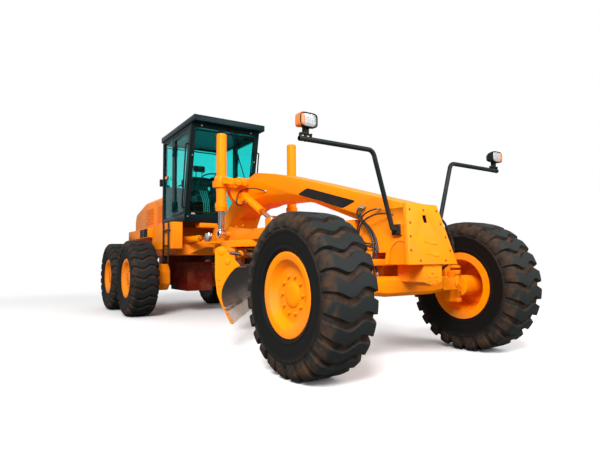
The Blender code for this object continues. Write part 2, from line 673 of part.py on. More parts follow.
# Lamp arms at the nose
ARM_RADIUS = 0.021
ARM_BEND_Y = 0.518
ARM_HEIGHT = 1.905
ARM_TIP_Y = 1.286
LAMP_STEM_RADIUS = 0.014
LAMP_Y = 1.224
LAMP_HEIGHT = 2.045
LAMP_HALF_WIDTH = 0.085
LAMP_HALF_HEIGHT = 0.06
LAMP_BACK_HALF = 0.05
LAMP_DEPTH = 0.11
LAMP_LIP = 0.03


def lamp_arm(side_name, side):
    """A bent tube with its foot on the nose and a lamp on its outer end."""
    x = FRONT_AXLE_X + ARM_BASE_X
    foot = ARM_BASE_Y + SEAT_GAP
    bend = ARM_RADIUS * 2
    places = [(foot, ARM_BASE_Z), (foot + bend, ARM_BASE_Z), (foot + bend * 3 / 2, ARM_BASE_Z + bend),
              (ARM_BEND_Y - ARM_RADIUS, ARM_HEIGHT - bend), (ARM_BEND_Y + ARM_RADIUS, ARM_HEIGHT),
              (ARM_TIP_Y, ARM_HEIGHT)]
    arm = tube([(x, side * y, z) for y, z in places], ARM_RADIUS)
    stem = rod((x, side * LAMP_Y, ARM_HEIGHT), (x, side * LAMP_Y, LAMP_HEIGHT), LAMP_STEM_RADIUS,
               SMALL_STEPS)
    rings = []
    for station, width, rise in ((-LAMP_DEPTH / 2, LAMP_BACK_HALF, LAMP_BACK_HALF / 2),
                                 (LAMP_DEPTH / 2 - LAMP_LIP, LAMP_HALF_WIDTH, LAMP_HALF_HEIGHT),
                                 (LAMP_DEPTH / 2, LAMP_HALF_WIDTH, LAMP_HALF_HEIGHT)):
        rings.append([(x + station, side * LAMP_Y + y, LAMP_HEIGHT + z)
                      for y, z in ((-width, -rise), (width, -rise), (width, rise), (-width, rise))])
    return node(f"lamp_arm_{side_name}", fuse(arm, stem, loft(rings)), "black_paint",
                (x, side * ARM_BASE_Y, ARM_BASE_Z))


for side_name, side in SIDES:
    lamp_arm(side_name, side)

# Draft frame, circle, carrier and blade
DRAFT_HALF_WIDTH = 0.46
DRAFT_SHOULDER_HALF = 0.39
DRAFT_SHOULDER_REACH = 0.93
DRAFT_FRONT_REACH = 0.19
DRAFT_BACK_REACH = 0.36
DRAFT_TOP = 1.38
DRAFT_BOTTOM = 1.24
DRAFT_NECK_HALF = 0.09
DRAFT_DROP_LENGTH = 0.42
DRAFT_DROP = 0.112
DRAFT_RIB = 0.05
DRAFT_RIB_TOP = 1.44
DRAFT_RIB_REACH = 0.50
DRAFT_STUD_RADIUS = 0.035
CENTRE_EYE_REACH = 0.76
CIRCLE_RADIUS = 0.62
CIRCLE_INNER_RADIUS = 0.50
CIRCLE_THICKNESS = 0.09
ARM_HALF_SPACING = 0.45
ARM_THICKNESS = 0.05
PITCH_AXIS_BACK = 0.42
PITCH_AXIS_Z = 0.92
PITCH_CAP_RADIUS = 0.04
BLADE_EDGE_BACK = 0.152
BLADE_THICKNESS = 0.022
# The blade's face from its lowest edge: share of its height forward, then upward
BLADE_FACE_SHARES = ((0, 0), (-0.155, 0.27), (-0.192, 0.38), (-0.207, 0.48), (-0.197, 0.59), (-0.160, 0.69),
                     (-0.105, 0.79), (-0.040, 0.88), (0.030, 0.95), (0.115, 0.995))
# The back of the blade's end plates from top to bottom, in the same shares
END_PLATE_SHARES = ((-0.32, 1.063), (-0.32, 0.825), (-0.285, 0.523), (-0.237, 0.38), (-0.05, 0))
CARRIER_HALF = 0.62
CARRIER_HALF_PLATE = 0.03
CARRIER_BOTTOM = 0.42
CARRIER_RAIL_LEVELS = (0.47, 0.75)
RAIL_HALF = 0.035
SHIFT_AXIS_BACK = 0.28
SHIFT_AXIS_Z = 1.055
SHIFT_BARREL_REACH = 0.66
SHIFT_MOUTH = 0.50
SHIFT_BARREL_RADIUS = 0.045
SHIFT_ROD_RADIUS = 0.025
SHIFT_ROD_REACH = 0.165
SHIFT_SADDLE_HALF = 0.30
LIFT_ROD_RADIUS = 0.045
LIFT_BARREL_RADIUS = 0.072
LIFT_COLLAR_RADIUS = 0.088
LIFT_COLLAR_HEIGHT = 0.11
LIFT_TOP = 2.77
LIFT_BOTTOM = 1.66
LIFT_SPARE = 0.26
YOKE_RING_HALF = 0.10
TRUNNION_RADIUS = 0.04

TURN = math.radians(BLADE_TURN)
BLADE_ALONG = Vector((-math.sin(TURN), math.cos(TURN), 0))
BLADE_FACING = Vector((math.cos(TURN), math.sin(TURN), 0))
CIRCLE_CENTRE = Vector((CIRCLE_X, 0, 0))
CIRCLE_TOP = DRAFT_BOTTOM - SEAT_GAP
CIRCLE_BOTTOM = CIRCLE_TOP - CIRCLE_THICKNESS
PITCH_X = CIRCLE_X - PITCH_AXIS_BACK
PITCH_PLACE = CIRCLE_CENTRE - BLADE_FACING * PITCH_AXIS_BACK + Vector((0, 0, PITCH_AXIS_Z))
BLADE_EDGE_X = CIRCLE_X - BLADE_EDGE_BACK
SHIFT_X = CIRCLE_X - SHIFT_AXIS_BACK
STUD_Z = DRAFT_TOP - DRAFT_STUD_RADIUS
CENTRE_PIN = (CIRCLE_X, CENTRE_CYLINDER_Y, CENTRE_PIN_HEIGHT)
CENTRE_EYE = (CIRCLE_X + CENTRE_EYE_REACH, CENTRE_CYLINDER_Y, DRAFT_TOP + EYE_RADIUS + PLATE)


def swing_to_blade(piece):
    """Turn a piece that was built square about the circle's centre."""
    turn = Matrix.Translation(CIRCLE_CENTRE) @ Matrix.Rotation(TURN, 4,
                                                               "Z") @ Matrix.Translation(-CIRCLE_CENTRE)
    piece.data.transform(turn)
    return piece


def draft_frame():
    """The tapered frame that pulls the circle, with its ball cup, side ribs and studs."""
    outline = mirrored([(BALL_X - BALL_RADIUS, DRAFT_NECK_HALF),
                        (CIRCLE_X + DRAFT_SHOULDER_REACH, DRAFT_SHOULDER_HALF),
                        (CIRCLE_X + DRAFT_FRONT_REACH, DRAFT_HALF_WIDTH),
                        (CIRCLE_X - DRAFT_BACK_REACH, DRAFT_HALF_WIDTH)])
    body = plate(outline, (DRAFT_BOTTOM, DRAFT_TOP), "xy")
    pieces = [tapered((BALL_X - DRAFT_DROP_LENGTH, DRAFT_NECK_HALF,
                       (DRAFT_BOTTOM + OVERLAP, DRAFT_TOP - OVERLAP)),
                      (BALL_X - BALL_RADIUS, DRAFT_NECK_HALF,
                       (BALL_HEIGHT - DRAFT_DROP, DRAFT_TOP - OVERLAP)))]
    rib = [(CIRCLE_X - DRAFT_BACK_REACH, DRAFT_TOP - OVERLAP),
           (CIRCLE_X + DRAFT_RIB_REACH, DRAFT_TOP - OVERLAP),
           (CIRCLE_X - DRAFT_BACK_REACH / 2, DRAFT_RIB_TOP), (CIRCLE_X - DRAFT_BACK_REACH, DRAFT_RIB_TOP)]
    for _, side in SIDES:
        rib_outer = DRAFT_SHOULDER_HALF + DRAFT_RIB
        pieces.append(plate(rib, outward(side, DRAFT_SHOULDER_HALF, rib_outer)))
        pieces.append(rod((SADDLE_X, side * (DRAFT_HALF_WIDTH - OVERLAP), STUD_Z),
                          (SADDLE_X, side * (LIFT_CYLINDER_Y - EYE_HALF - SEAT_GAP), STUD_Z),
                          DRAFT_STUD_RADIUS,
                          SMALL_STEPS))
    lug_y = CENTRE_CYLINDER_Y - RAM_EYE_HALF - SEAT_GAP
    pieces.append(block(around(CENTRE_EYE[0], EYE_RADIUS), (lug_y - PLATE, lug_y),
                        (DRAFT_TOP - OVERLAP, CENTRE_EYE[2] + EYE_RADIUS / 2)))
    hollow = ball((BALL_X, 0, BALL_HEIGHT), BALL_RADIUS + RUNNING_GAP)
    return node("draft_frame", cut(fuse(body, *pieces), hollow), "orange_paint", (BALL_X, 0, BALL_HEIGHT))


def circle():
    """The ring that turns the blade, with its two hanging arms and their pins' caps."""
    profile = [(CIRCLE_INNER_RADIUS, CIRCLE_TOP), (CIRCLE_RADIUS, CIRCLE_TOP),
               (CIRCLE_RADIUS, CIRCLE_BOTTOM),
               (CIRCLE_INNER_RADIUS, CIRCLE_BOTTOM)]
    ring = turned(profile, (CIRCLE_X, 0, 0), (0, 0, 1), CIRCLE_STEPS, closed=True)
    outline = [(PITCH_X + EYE_RADIUS, CIRCLE_BOTTOM + OVERLAP),
               (PITCH_X - EYE_RADIUS * 2, CIRCLE_BOTTOM + OVERLAP),
               (PITCH_X - EYE_RADIUS, PITCH_AXIS_Z - EYE_RADIUS),
               (PITCH_X + EYE_RADIUS, PITCH_AXIS_Z - EYE_RADIUS)]
    pieces = []
    for _, side in SIDES:
        pieces.append(plate(outline, outward(side, ARM_HALF_SPACING - ARM_THICKNESS, ARM_HALF_SPACING)))
        pieces.append(rod((PITCH_X, side * (ARM_HALF_SPACING - OVERLAP), PITCH_AXIS_Z),
                          (PITCH_X, side * (ARM_HALF_SPACING + PLATE), PITCH_AXIS_Z), PITCH_CAP_RADIUS,
                          SMALL_STEPS))
    return node("circle", swing_to_blade(baked(fuse(ring, *pieces))), "orange_paint",
                (CIRCLE_X, 0, CIRCLE_TOP))


def blade_line(offset):
    """The blade's side outline from its edge to its top, set back from its face."""
    face = [Vector((BLADE_EDGE_X + forward * BLADE_HEIGHT, BLADE_GROUND_GAP + up * BLADE_HEIGHT))
            for forward, up in BLADE_FACE_SHARES]
    line = []
    for step, place in enumerate(face):
        along = face[min(step + 1, len(face) - 1)] - face[max(step - 1, 0)]
        line.append(place + Vector((-along.y, along.x)).normalized() * offset)
    return line


def blade_back_x(low, high):
    """The rearmost place of the blade's back between two heights."""
    back = blade_line(BLADE_THICKNESS)
    places = [place.x for place in back if low <= place.y <= high]
    for near, far in zip(back, back[1:]):
        for height in (low, high):
            if near.y <= height < far.y:
                places.append(near.lerp(far, (height - near.y) / (far.y - near.y)).x)
    return min(places)


def carrier():
    """The bracket beam that hangs on the circle's arms, guides the blade and holds the shift barrel."""
    ears = ARM_HALF_SPACING - ARM_THICKNESS - SEAT_GAP
    body = block(around(PITCH_X, CARRIER_HALF_PLATE), around(0, ears),
                 (CARRIER_BOTTOM, PITCH_AXIS_Z + EYE_RADIUS))
    pieces = []
    for level in CARRIER_RAIL_LEVELS:
        low, high = around(level, RAIL_HALF)
        pieces.append(block((PITCH_X, blade_back_x(low, high) - RUNNING_GAP), around(0, CARRIER_HALF),
                            (low, high)))
    bore = SHIFT_ROD_RADIUS + SEAT_GAP
    profile = [(0, SHIFT_BARREL_REACH), (SHIFT_BARREL_RADIUS, SHIFT_BARREL_REACH),
               (SHIFT_BARREL_RADIUS, -SHIFT_MOUTH),
               (bore, -SHIFT_MOUTH), (bore, SHIFT_BARREL_REACH - PLATE), (0, SHIFT_BARREL_REACH - PLATE)]
    pieces.append(turned(profile, (SHIFT_X, 0, SHIFT_AXIS_Z), (0, 1, 0)))
    shelf = SHIFT_AXIS_Z - SHIFT_BARREL_RADIUS + OVERLAP
    pieces.append(block((PITCH_X, SHIFT_X), around(0, SHIFT_SADDLE_HALF), (shelf - PLATE, shelf)))
    pieces.append(block((PITCH_X, PITCH_X + CARRIER_HALF_PLATE), around(0, SHIFT_SADDLE_HALF),
                        (PITCH_AXIS_Z, shelf)))
    return node("blade_carrier", swing_to_blade(baked(fuse(body, *pieces))), "orange_paint", PITCH_PLACE)


def blade():
    """The curved mouldboard with its end plates, one of them with the lug that the shift rod pulls."""
    face = [(place.x, place.y) for place in blade_line(0)]
    back = [(place.x, place.y) for place in blade_line(BLADE_THICKNESS)]
    half = BLADE_LENGTH / 2
    board = plate(face + back[::-1], around(0, half - SEAT_GAP))
    rear = [(BLADE_EDGE_X + forward * BLADE_HEIGHT, BLADE_GROUND_GAP + up * BLADE_HEIGHT)
            for forward, up in END_PLATE_SHARES]
    lug = [(SHIFT_X + EYE_RADIUS, SHIFT_AXIS_Z), (SHIFT_X + EYE_RADIUS / 2, SHIFT_AXIS_Z + EYE_RADIUS / 2),
           (SHIFT_X - EYE_RADIUS / 2, SHIFT_AXIS_Z + EYE_RADIUS / 2), (SHIFT_X - EYE_RADIUS, SHIFT_AXIS_Z)]
    right_plate = plate(face + lug + rear, (-half, PLATE - half))
    left_plate = plate(face + rear[1:], (half - PLATE, half))
    board = swing_to_blade(baked(fuse(board, right_plate, left_plate)))
    node("blade", board, "blade_steel", PITCH_PLACE)
    shaft = rod((SHIFT_X, PLATE + SEAT_GAP - half, SHIFT_AXIS_Z), (SHIFT_X, SHIFT_ROD_REACH, SHIFT_AXIS_Z),
                SHIFT_ROD_RADIUS)
    return node("side_shift_rod", swing_to_blade(shaft), "bright_rod", PITCH_PLACE)


def lift_cylinder(side_name, side):
    """A fixed barrel in its yoke on the saddle, and the rod that follows the draft frame."""
    y = side * LIFT_CYLINDER_Y
    bore = LIFT_ROD_RADIUS + SEAT_GAP
    collar = LIFT_BOTTOM + LIFT_COLLAR_HEIGHT
    profile = [(0, LIFT_TOP), (LIFT_BARREL_RADIUS, LIFT_TOP), (LIFT_BARREL_RADIUS, collar),
               (LIFT_COLLAR_RADIUS, collar),
               (LIFT_COLLAR_RADIUS, LIFT_BOTTOM), (bore, LIFT_BOTTOM), (bore, LIFT_TOP - PLATE),
               (0, LIFT_TOP - PLATE)]
    barrel = turned(profile, (SADDLE_X, y, 0), (0, 0, 1))
    level = (SADDLE_HEIGHT - SADDLE_HALF_HEIGHT, SADDLE_HEIGHT + SADDLE_HALF_HEIGHT)
    ring = turned([(LIFT_BARREL_RADIUS - OVERLAP, level[1]), (YOKE_RING_HALF, level[1]),
                   (YOKE_RING_HALF, level[0]),
                   (LIFT_BARREL_RADIUS - OVERLAP, level[0])], (SADDLE_X, y, 0), (0, 0, 1), closed=True)
    trunnions = []
    for hand in (-1, 1):
        trunnions.append(rod((SADDLE_X + hand * LIFT_BARREL_RADIUS, y, SADDLE_HEIGHT),
                             (SADDLE_X + hand * (YOKE_INNER - SEAT_GAP), y, SADDLE_HEIGHT), TRUNNION_RADIUS,
                             SMALL_STEPS))
    node(f"lift_barrel_{side_name}", fuse(barrel, ring, *trunnions), "orange_paint",
         (SADDLE_X, y, SADDLE_HEIGHT))
    shaft = rod((SADDLE_X, y, STUD_Z + EYE_RADIUS - OVERLAP), (SADDLE_X, y, LIFT_TOP - LIFT_SPARE),
                LIFT_ROD_RADIUS)
    eye = rod((SADDLE_X, y - EYE_HALF, STUD_Z), (SADDLE_X, y + EYE_HALF, STUD_Z), EYE_RADIUS)
    node(f"lift_rod_{side_name}", fuse(shaft, eye), "bright_rod", (SADDLE_X, y, STUD_Z))


draft_frame()
circle()
carrier()
blade()
for side_name, side in SIDES:
    lift_cylinder(side_name, side)

# Cylinders that lie between two pins: barrel and rod, opened at the rod's eye
RAM_BARREL_RADIUS = 0.055
RAM_ROD_RADIUS = 0.03
RAM_FOOT_RADIUS = 0.044
RAM_ROD_SPARE = 0.22
RAM_MOUTH_SHARE = 0.62
ARTICULATION_BARREL_REACH = 0.50


def ram(names, pin, eye, across):
    """A barrel with a boss at its pin and a rod that ends in an eye, their pins lying across."""
    pin, eye, across = Vector(pin), Vector(eye), Vector(across)
    run = (eye - pin).normalized()
    mouth = (eye - pin).length * RAM_MOUTH_SHARE
    bottom = EYE_RADIUS - OVERLAP
    bore = RAM_ROD_RADIUS + SEAT_GAP
    profile = [(0, bottom + PLATE), (bore, bottom + PLATE), (bore, mouth), (RAM_BARREL_RADIUS, mouth),
               (RAM_BARREL_RADIUS, bottom), (0, bottom)]
    barrel = turned(profile, pin, run)
    boss = rod(pin - across * RAM_EYE_HALF, pin + across * RAM_EYE_HALF, EYE_RADIUS)
    foot = rod(pin, pin + run * (bottom + OVERLAP), RAM_FOOT_RADIUS, SMALL_STEPS)
    node(names[0], fuse(boss, foot, barrel), "orange_paint", pin)
    shaft = rod(pin + run * (bottom + PLATE + RAM_ROD_SPARE), eye - run * (EYE_RADIUS - OVERLAP),
                RAM_ROD_RADIUS)
    tip = rod(eye - across * RAM_EYE_HALF, eye + across * RAM_EYE_HALF, EYE_RADIUS)
    node(names[1], fuse(tip, shaft), "bright_rod", eye)


ram_z = ARTICULATION_SEAT_Z + RAM_EYE_HALF + SEAT_GAP
for side_name, side in SIDES:
    ram((f"articulation_barrel_{side_name}", f"articulation_rod_{side_name}"),
        (HITCH_X - ARTICULATION_BARREL_REACH, side * ARTICULATION_PIN_Y, ram_z),
        (HITCH_X + ARTICULATION_PIN_REACH, side * ARTICULATION_PIN_Y, ram_z), (0, 0, 1))

ram(("centre_shift_barrel", "centre_shift_rod"), CENTRE_PIN, CENTRE_EYE, (0, 1, 0))

# Rear frame, drive axle and tandem cases
FRAME_HALF = 0.42
FRAME_OUTER_HALF = 0.56
RAIL_THICKNESS = 0.14
FRAME_BOTTOM = 1.08
FRAME_FRONT_REACH = 0.42
FRAME_CROSS_DEPTH = 0.28
TONGUE_RADIUS = 0.17
TONGUE_ROOT_HALF = 0.22
TAIL_BEAM_DEPTH = 0.25
TANDEM_INNER = 0.56
TANDEM_OUTER = 0.83
TANDEM_TOP = 0.93
TANDEM_BOTTOM = 0.45
TANDEM_CHAMFER = 0.12
TANDEM_END_REACH = 0.28
REAR_HUB_RADIUS = 0.18
AXLE_TUBE_RADIUS = 0.17
BULGE_RADIUS = 0.275
BULGE_FLAT_HALF = 0.075
BULGE_NECK_RADIUS = 0.187
BULGE_NECK_Y = 0.225
GEARBOX_FRONT = 1.05
GEARBOX_HALF = 0.25
GEARBOX_TOP = 0.96
GEARBOX_BOTTOM = 0.42


def rear_frame():
    """Two rails with a tail beam behind and the hitch tongue in front."""
    front = HITCH_X - FRAME_FRONT_REACH
    body = block((front - FRAME_CROSS_DEPTH, front), around(0, FRAME_OUTER_HALF),
                 (FRAME_BOTTOM, REAR_FRAME_TOP))
    pin_x = HITCH_X - ARTICULATION_BARREL_REACH
    pieces = []
    for _, side in SIDES:
        pieces.append(block((TAIL_X + TAIL_BEAM_DEPTH / 2, front - OVERLAP),
                            outward(side, FRAME_HALF - RAIL_THICKNESS, FRAME_HALF),
                            (FRAME_BOTTOM + OVERLAP, REAR_FRAME_TOP - OVERLAP)))
        pin_y = side * ARTICULATION_PIN_Y
        pieces.append(rod((pin_x, pin_y, REAR_FRAME_TOP - OVERLAP), (pin_x, pin_y, ARTICULATION_SEAT_Z),
                          ARTICULATION_PIN_RADIUS, SMALL_STEPS))
    pieces.append(block((TAIL_X, TAIL_X + TAIL_BEAM_DEPTH), around(0, FRAME_OUTER_HALF),
                        (FRAME_BOTTOM - OVERLAP, REAR_FRAME_TOP)))
    leaf_low = HITCH_FORK_BOTTOM + HITCH_FORK_LEAF + RUNNING_GAP
    leaf_high = HITCH_FORK_TOP - HITCH_FORK_LEAF - RUNNING_GAP
    step_x = HITCH_X - HITCH_BOSS_RADIUS - RUNNING_GAP * 4
    inner = (leaf_low + OVERLAP, leaf_high - OVERLAP)
    pieces.append(rod((HITCH_X, 0, leaf_low), (HITCH_X, 0, leaf_high), TONGUE_RADIUS))
    pieces.append(tapered((front - OVERLAP, FRAME_HALF,
                           (FRAME_BOTTOM + OVERLAP * 2, REAR_FRAME_TOP - OVERLAP * 2)),
                          (step_x, TONGUE_ROOT_HALF, inner), (HITCH_X, TONGUE_RADIUS - OVERLAP, inner)))
    bore_radius = (HITCH_PIN_RADIUS + SEAT_GAP) / math.cos(math.pi / ROUND_STEPS)
    bore = rod((HITCH_X, 0, leaf_low - OVERRUN), (HITCH_X, 0, leaf_high + OVERRUN), bore_radius)
    return node("rear_frame", cut(fuse(body, *pieces), bore), "orange_paint",
                (HITCH_X, 0, ARTICULATION_SEAT_Z))


def drive_axle():
    """The rear axle's tube between the tandem cases, with the gearbox ahead of it."""
    reach = TANDEM_INNER - SEAT_GAP
    shaft = rod((TANDEM_X, -reach, TYRE_RADIUS), (TANDEM_X, reach, TYRE_RADIUS), AXLE_TUBE_RADIUS)
    half = [(0, GEARBOX_HALF), (BULGE_NECK_RADIUS, BULGE_NECK_Y), (BULGE_RADIUS, BULGE_FLAT_HALF)]
    profile = half + [(radius, -height) for radius, height in reversed(half)]
    bulge = turned(profile, (TANDEM_X, 0, TYRE_RADIUS), (0, 1, 0))
    gearbox = block((TANDEM_X + AXLE_TUBE_RADIUS / 2, TANDEM_X + GEARBOX_FRONT),
                    around(0, GEARBOX_HALF - OVERLAP),
                    (GEARBOX_BOTTOM, GEARBOX_TOP))
    mount = block(around(TANDEM_X, AXLE_TUBE_RADIUS - OVERLAP), around(0, FRAME_HALF),
                  (TYRE_RADIUS + AXLE_TUBE_RADIUS / 2, FRAME_BOTTOM + OVERLAP - SEAT_GAP))
    return node("drive_axle", fuse(shaft, bulge, gearbox, mount), "red_paint", (TANDEM_X, 0, TYRE_RADIUS))


def tandem_case(side_name, side):
    """The long chain case that carries two wheels on its outer face."""
    half = TANDEM_SPACING / 2 + TANDEM_END_REACH
    outline = []
    for end, height, first in ((-1, TANDEM_BOTTOM, "side"), (1, TANDEM_BOTTOM, "flat"),
                               (1, TANDEM_TOP, "side"),
                               (-1, TANDEM_TOP, "flat")):
        inward = TANDEM_CHAMFER if height == TANDEM_BOTTOM else -TANDEM_CHAMFER
        corners = [(TANDEM_X + end * half, height + inward),
                   (TANDEM_X + end * (half - TANDEM_CHAMFER), height)]
        outline += corners if first == "side" else corners[::-1]
    pieces = [rod((x, side * (TANDEM_OUTER - OVERLAP), TYRE_RADIUS), (x, side * HUB_FACE_Y, TYRE_RADIUS),
                  REAR_HUB_RADIUS) for x in REAR_WHEEL_X]
    body = plate(outline, outward(side, TANDEM_INNER, TANDEM_OUTER))
    return node(f"tandem_case_{side_name}", fuse(body, *pieces), "orange_paint",
                (TANDEM_X, side * TANDEM_INNER, TYRE_RADIUS))


rear_frame()
drive_axle()
for side_name, side in SIDES:
    tandem_case(side_name, side)

# Cab stations that the hood, decks and ladders also meet
CAB_REAR_REACH = 1.35
CAB_FLOOR = 1.63
CAB_HALF = 0.62
CAB_WALL = 0.05
CAB_TOP = 3.24
CAB_SILL = 0.13
CAB_FRONT_SILL_REACH = 0.13
CAB_FRONT_TOP_REACH = 0.20
CAB_REAR_X = HITCH_X - CAB_REAR_REACH
CAB_FRONT_LOW_X = HITCH_X - CAB_FRONT_SILL_REACH
CAB_FRONT_HIGH_X = HITCH_X + CAB_FRONT_TOP_REACH
CAB_LENGTH = CAB_FRONT_LOW_X - CAB_REAR_X

# Hood, decks and ladders
HOOD_HALF = 0.46
HOOD_CHAMFER = 0.06
HOOD_TOP = 2.29
HOOD_REAR_TOP = 2.13
HOOD_REAR_SLOPE = 0.16
HOOD_TAIL_INSET = 0.08
HOOD_SLOPE_REACH = 0.80
DECK_TOP = 1.60
DECK_BOTTOM = 1.42
DECK_OUTER = 0.88
DECK_SLOTS = 6
DECK_SLOT_PITCH = 0.085
DECK_SLOT_WIDTH = 0.05
DECK_SLOT_DEPTH = 0.012
DECK_SLOT_FRONT = 0.15
BOX_OUTER = 0.80
BOX_INNER = 0.62
BOX_BOTTOM = 1.18
BOX_FRONT_REACH = 0.21
LADDER_RADIUS = 0.016
LADDER_HANGER_RADIUS = 0.012
LADDER_WIDTH = 0.27
LADDER_BOTTOM = 0.93
LADDER_BEHIND_HITCH = 0.30
RUNG_PITCH = 0.26
RUNG_HEIGHT = 0.024


def hood():
    """The engine and its cover as one closed form on the rails, its top edges chamfered."""
    front = CAB_REAR_X - SEAT_GAP
    rear = TAIL_X + HOOD_TAIL_INSET
    low = REAR_FRAME_TOP + SEAT_GAP
    rings = []
    for x, top in ((front, HOOD_TOP), (rear + HOOD_SLOPE_REACH, HOOD_TOP),
                   (rear + HOOD_REAR_SLOPE / 2, HOOD_REAR_TOP),
                   (rear, HOOD_REAR_TOP - HOOD_REAR_SLOPE)):
        edge = HOOD_HALF - HOOD_CHAMFER
        rings.append([(x, -HOOD_HALF, low), (x, HOOD_HALF, low), (x, HOOD_HALF, top - HOOD_CHAMFER),
                      (x, edge, top),
                      (x, -edge, top), (x, -HOOD_HALF, top - HOOD_CHAMFER)])
    return node("hood", loft(rings), "orange_paint", (front, 0, REAR_FRAME_TOP))


def deck(side_name, side):
    """The slotted box above the tandem wheels, and the box beside the cab."""
    long_box = block((TANDEM_X - TANDEM_SPACING / 2 - PLATE, CAB_REAR_X + OVERLAP),
                     outward(side, HOOD_HALF + SEAT_GAP, DECK_OUTER), (DECK_BOTTOM, DECK_TOP))
    side_box = block((CAB_REAR_X - OVERLAP, HITCH_X - BOX_FRONT_REACH), outward(side, BOX_INNER, BOX_OUTER),
                     (BOX_BOTTOM, CAB_FLOOR - SEAT_GAP))
    slots = []
    for step in range(DECK_SLOTS):
        front = CAB_REAR_X - DECK_SLOT_FRONT - step * DECK_SLOT_PITCH
        slots.append(block((front - DECK_SLOT_WIDTH, front),
                           outward(side, DECK_OUTER - DECK_SLOT_DEPTH, DECK_OUTER + OVERRUN),
                           (DECK_BOTTOM + PLATE, DECK_TOP - PLATE)))
    return node(f"deck_{side_name}", cut(fuse(long_box, side_box), *slots), "orange_paint",
                (CAB_REAR_X, side * HOOD_HALF, DECK_BOTTOM))


def ladder(side_name, side):
    """A black ladder hung on the outer face of the box beside the cab."""
    y = side * (BOX_OUTER + LADDER_RADIUS * 2)
    front = HITCH_X - LADDER_BEHIND_HITCH
    rear = front - LADDER_WIDTH
    top = CAB_FLOOR - OVERLAP
    hanger_z = top - RUNG_PITCH / 2
    rails = [rod((x, y, LADDER_BOTTOM), (x, y, top), LADDER_RADIUS, SMALL_STEPS) for x in (front, rear)]
    hangers = [rod((x, side * (BOX_OUTER + SEAT_GAP), hanger_z), (x, y, hanger_z), LADDER_HANGER_RADIUS,
                   SMALL_STEPS)
               for x in (front, rear)]
    rungs = []
    level = LADDER_BOTTOM + LADDER_RADIUS * 2
    while level < top - LADDER_RADIUS:
        rungs.append(block((rear, front), around(y, LADDER_HANGER_RADIUS), (level, level + RUNG_HEIGHT)))
        level += RUNG_PITCH
    return node(f"ladder_{side_name}", fuse(*rails, *rungs, *hangers), "black_paint", (front, y, top))


hood()
for side_name, side in SIDES:
    deck(side_name, side)
    ladder(side_name, side)

# Cab: shell with its windows cut, panes, doors, seat and console
PANE = 0.008
POST = 0.07
ROOF_VISOR = 0.16
DOOR_REAR_REACH = 0.72
DOOR_RAIL = 0.06
DOOR_PIN_RADIUS = 0.018
HINGE_RADIUS = 0.0144
HINGE_HEIGHT = 0.09
SEAT_CENTRE_SHARE = 0.41
SEAT_DEPTH_SHARE = 0.393
SEAT_WIDTH = 0.48
SEAT_BOX_HALF = 0.17
CUSHION_TOP = 0.52
CUSHION_THICKNESS = 0.14
SEAT_BACK_TOP = 1.15
SEAT_BACK_THICKNESS = 0.12
CONSOLE_BEHIND_SCREEN = 0.19
CONSOLE_FOOT_HALF = 0.22
CONSOLE_FOOT_HEIGHT = 0.12
CONSOLE_FOOT_REAR = 0.10
CONSOLE_FOOT_FRONT = 0.08
COLUMN_RADIUS = 0.05
COLUMN_HEIGHT = 0.805
COLUMN_LEAN = 0.12
PANEL_HALF = 0.26
PANEL_DEPTH = 0.12
PANEL_LOW = 0.62
PANEL_HEIGHT = 0.12
STEERING_RADIUS = 0.19
STEERING_THICKNESS = 0.03

WINDOW_LOW = CAB_FLOOR + CAB_SILL
WINDOW_HIGH = CAB_TOP - POST
REAR_WINDOW_LOW = HOOD_TOP + POST
DOOR_REAR_X = HITCH_X - DOOR_REAR_REACH
QUARTER_FRONT_X = DOOR_REAR_X - POST
QUARTER_REAR_X = CAB_REAR_X + POST
HINGE_LEVELS = (WINDOW_LOW + DOOR_RAIL * 3, WINDOW_HIGH - DOOR_RAIL * 4)
DOOR_HINGE_X = DOOR_REAR_X + RUNNING_GAP + DOOR_PIN_RADIUS
DOOR_HINGE_Y = CAB_HALF + DOOR_PIN_RADIUS
CAB_INSIDE_FLOOR = CAB_FLOOR + CAB_WALL + SEAT_GAP


def cab_outline(inset):
    """The cab's side outline, drawn in from the outer faces."""
    return [(CAB_FRONT_LOW_X - inset, CAB_FLOOR + inset), (CAB_FRONT_HIGH_X - inset, CAB_TOP - inset),
            (CAB_REAR_X + inset, CAB_TOP - inset), (CAB_REAR_X + inset, CAB_FLOOR + inset)]


def front_x(height, inset=0):
    """The station of the sloping windscreen plane at a height."""
    share = (height - CAB_FLOOR) / (CAB_TOP - CAB_FLOOR)
    return CAB_FRONT_LOW_X + share * (CAB_FRONT_HIGH_X - CAB_FRONT_LOW_X) - inset


def door_outline(inset):
    """The side door's outline, its front edge along the windscreen post."""
    low, high = WINDOW_LOW + inset, WINDOW_HIGH - inset
    return [(front_x(low, POST + inset), low), (front_x(high, POST + inset), high),
            (DOOR_REAR_X + inset, high),
            (DOOR_REAR_X + inset, low)]


def quarter_outline(inset):
    """The outline of the fixed side window behind the door."""
    low, high = WINDOW_LOW + inset, WINDOW_HIGH - inset
    return [(QUARTER_FRONT_X - inset, low), (QUARTER_FRONT_X - inset, high), (QUARTER_REAR_X + inset, high),
            (QUARTER_REAR_X + inset, low)]


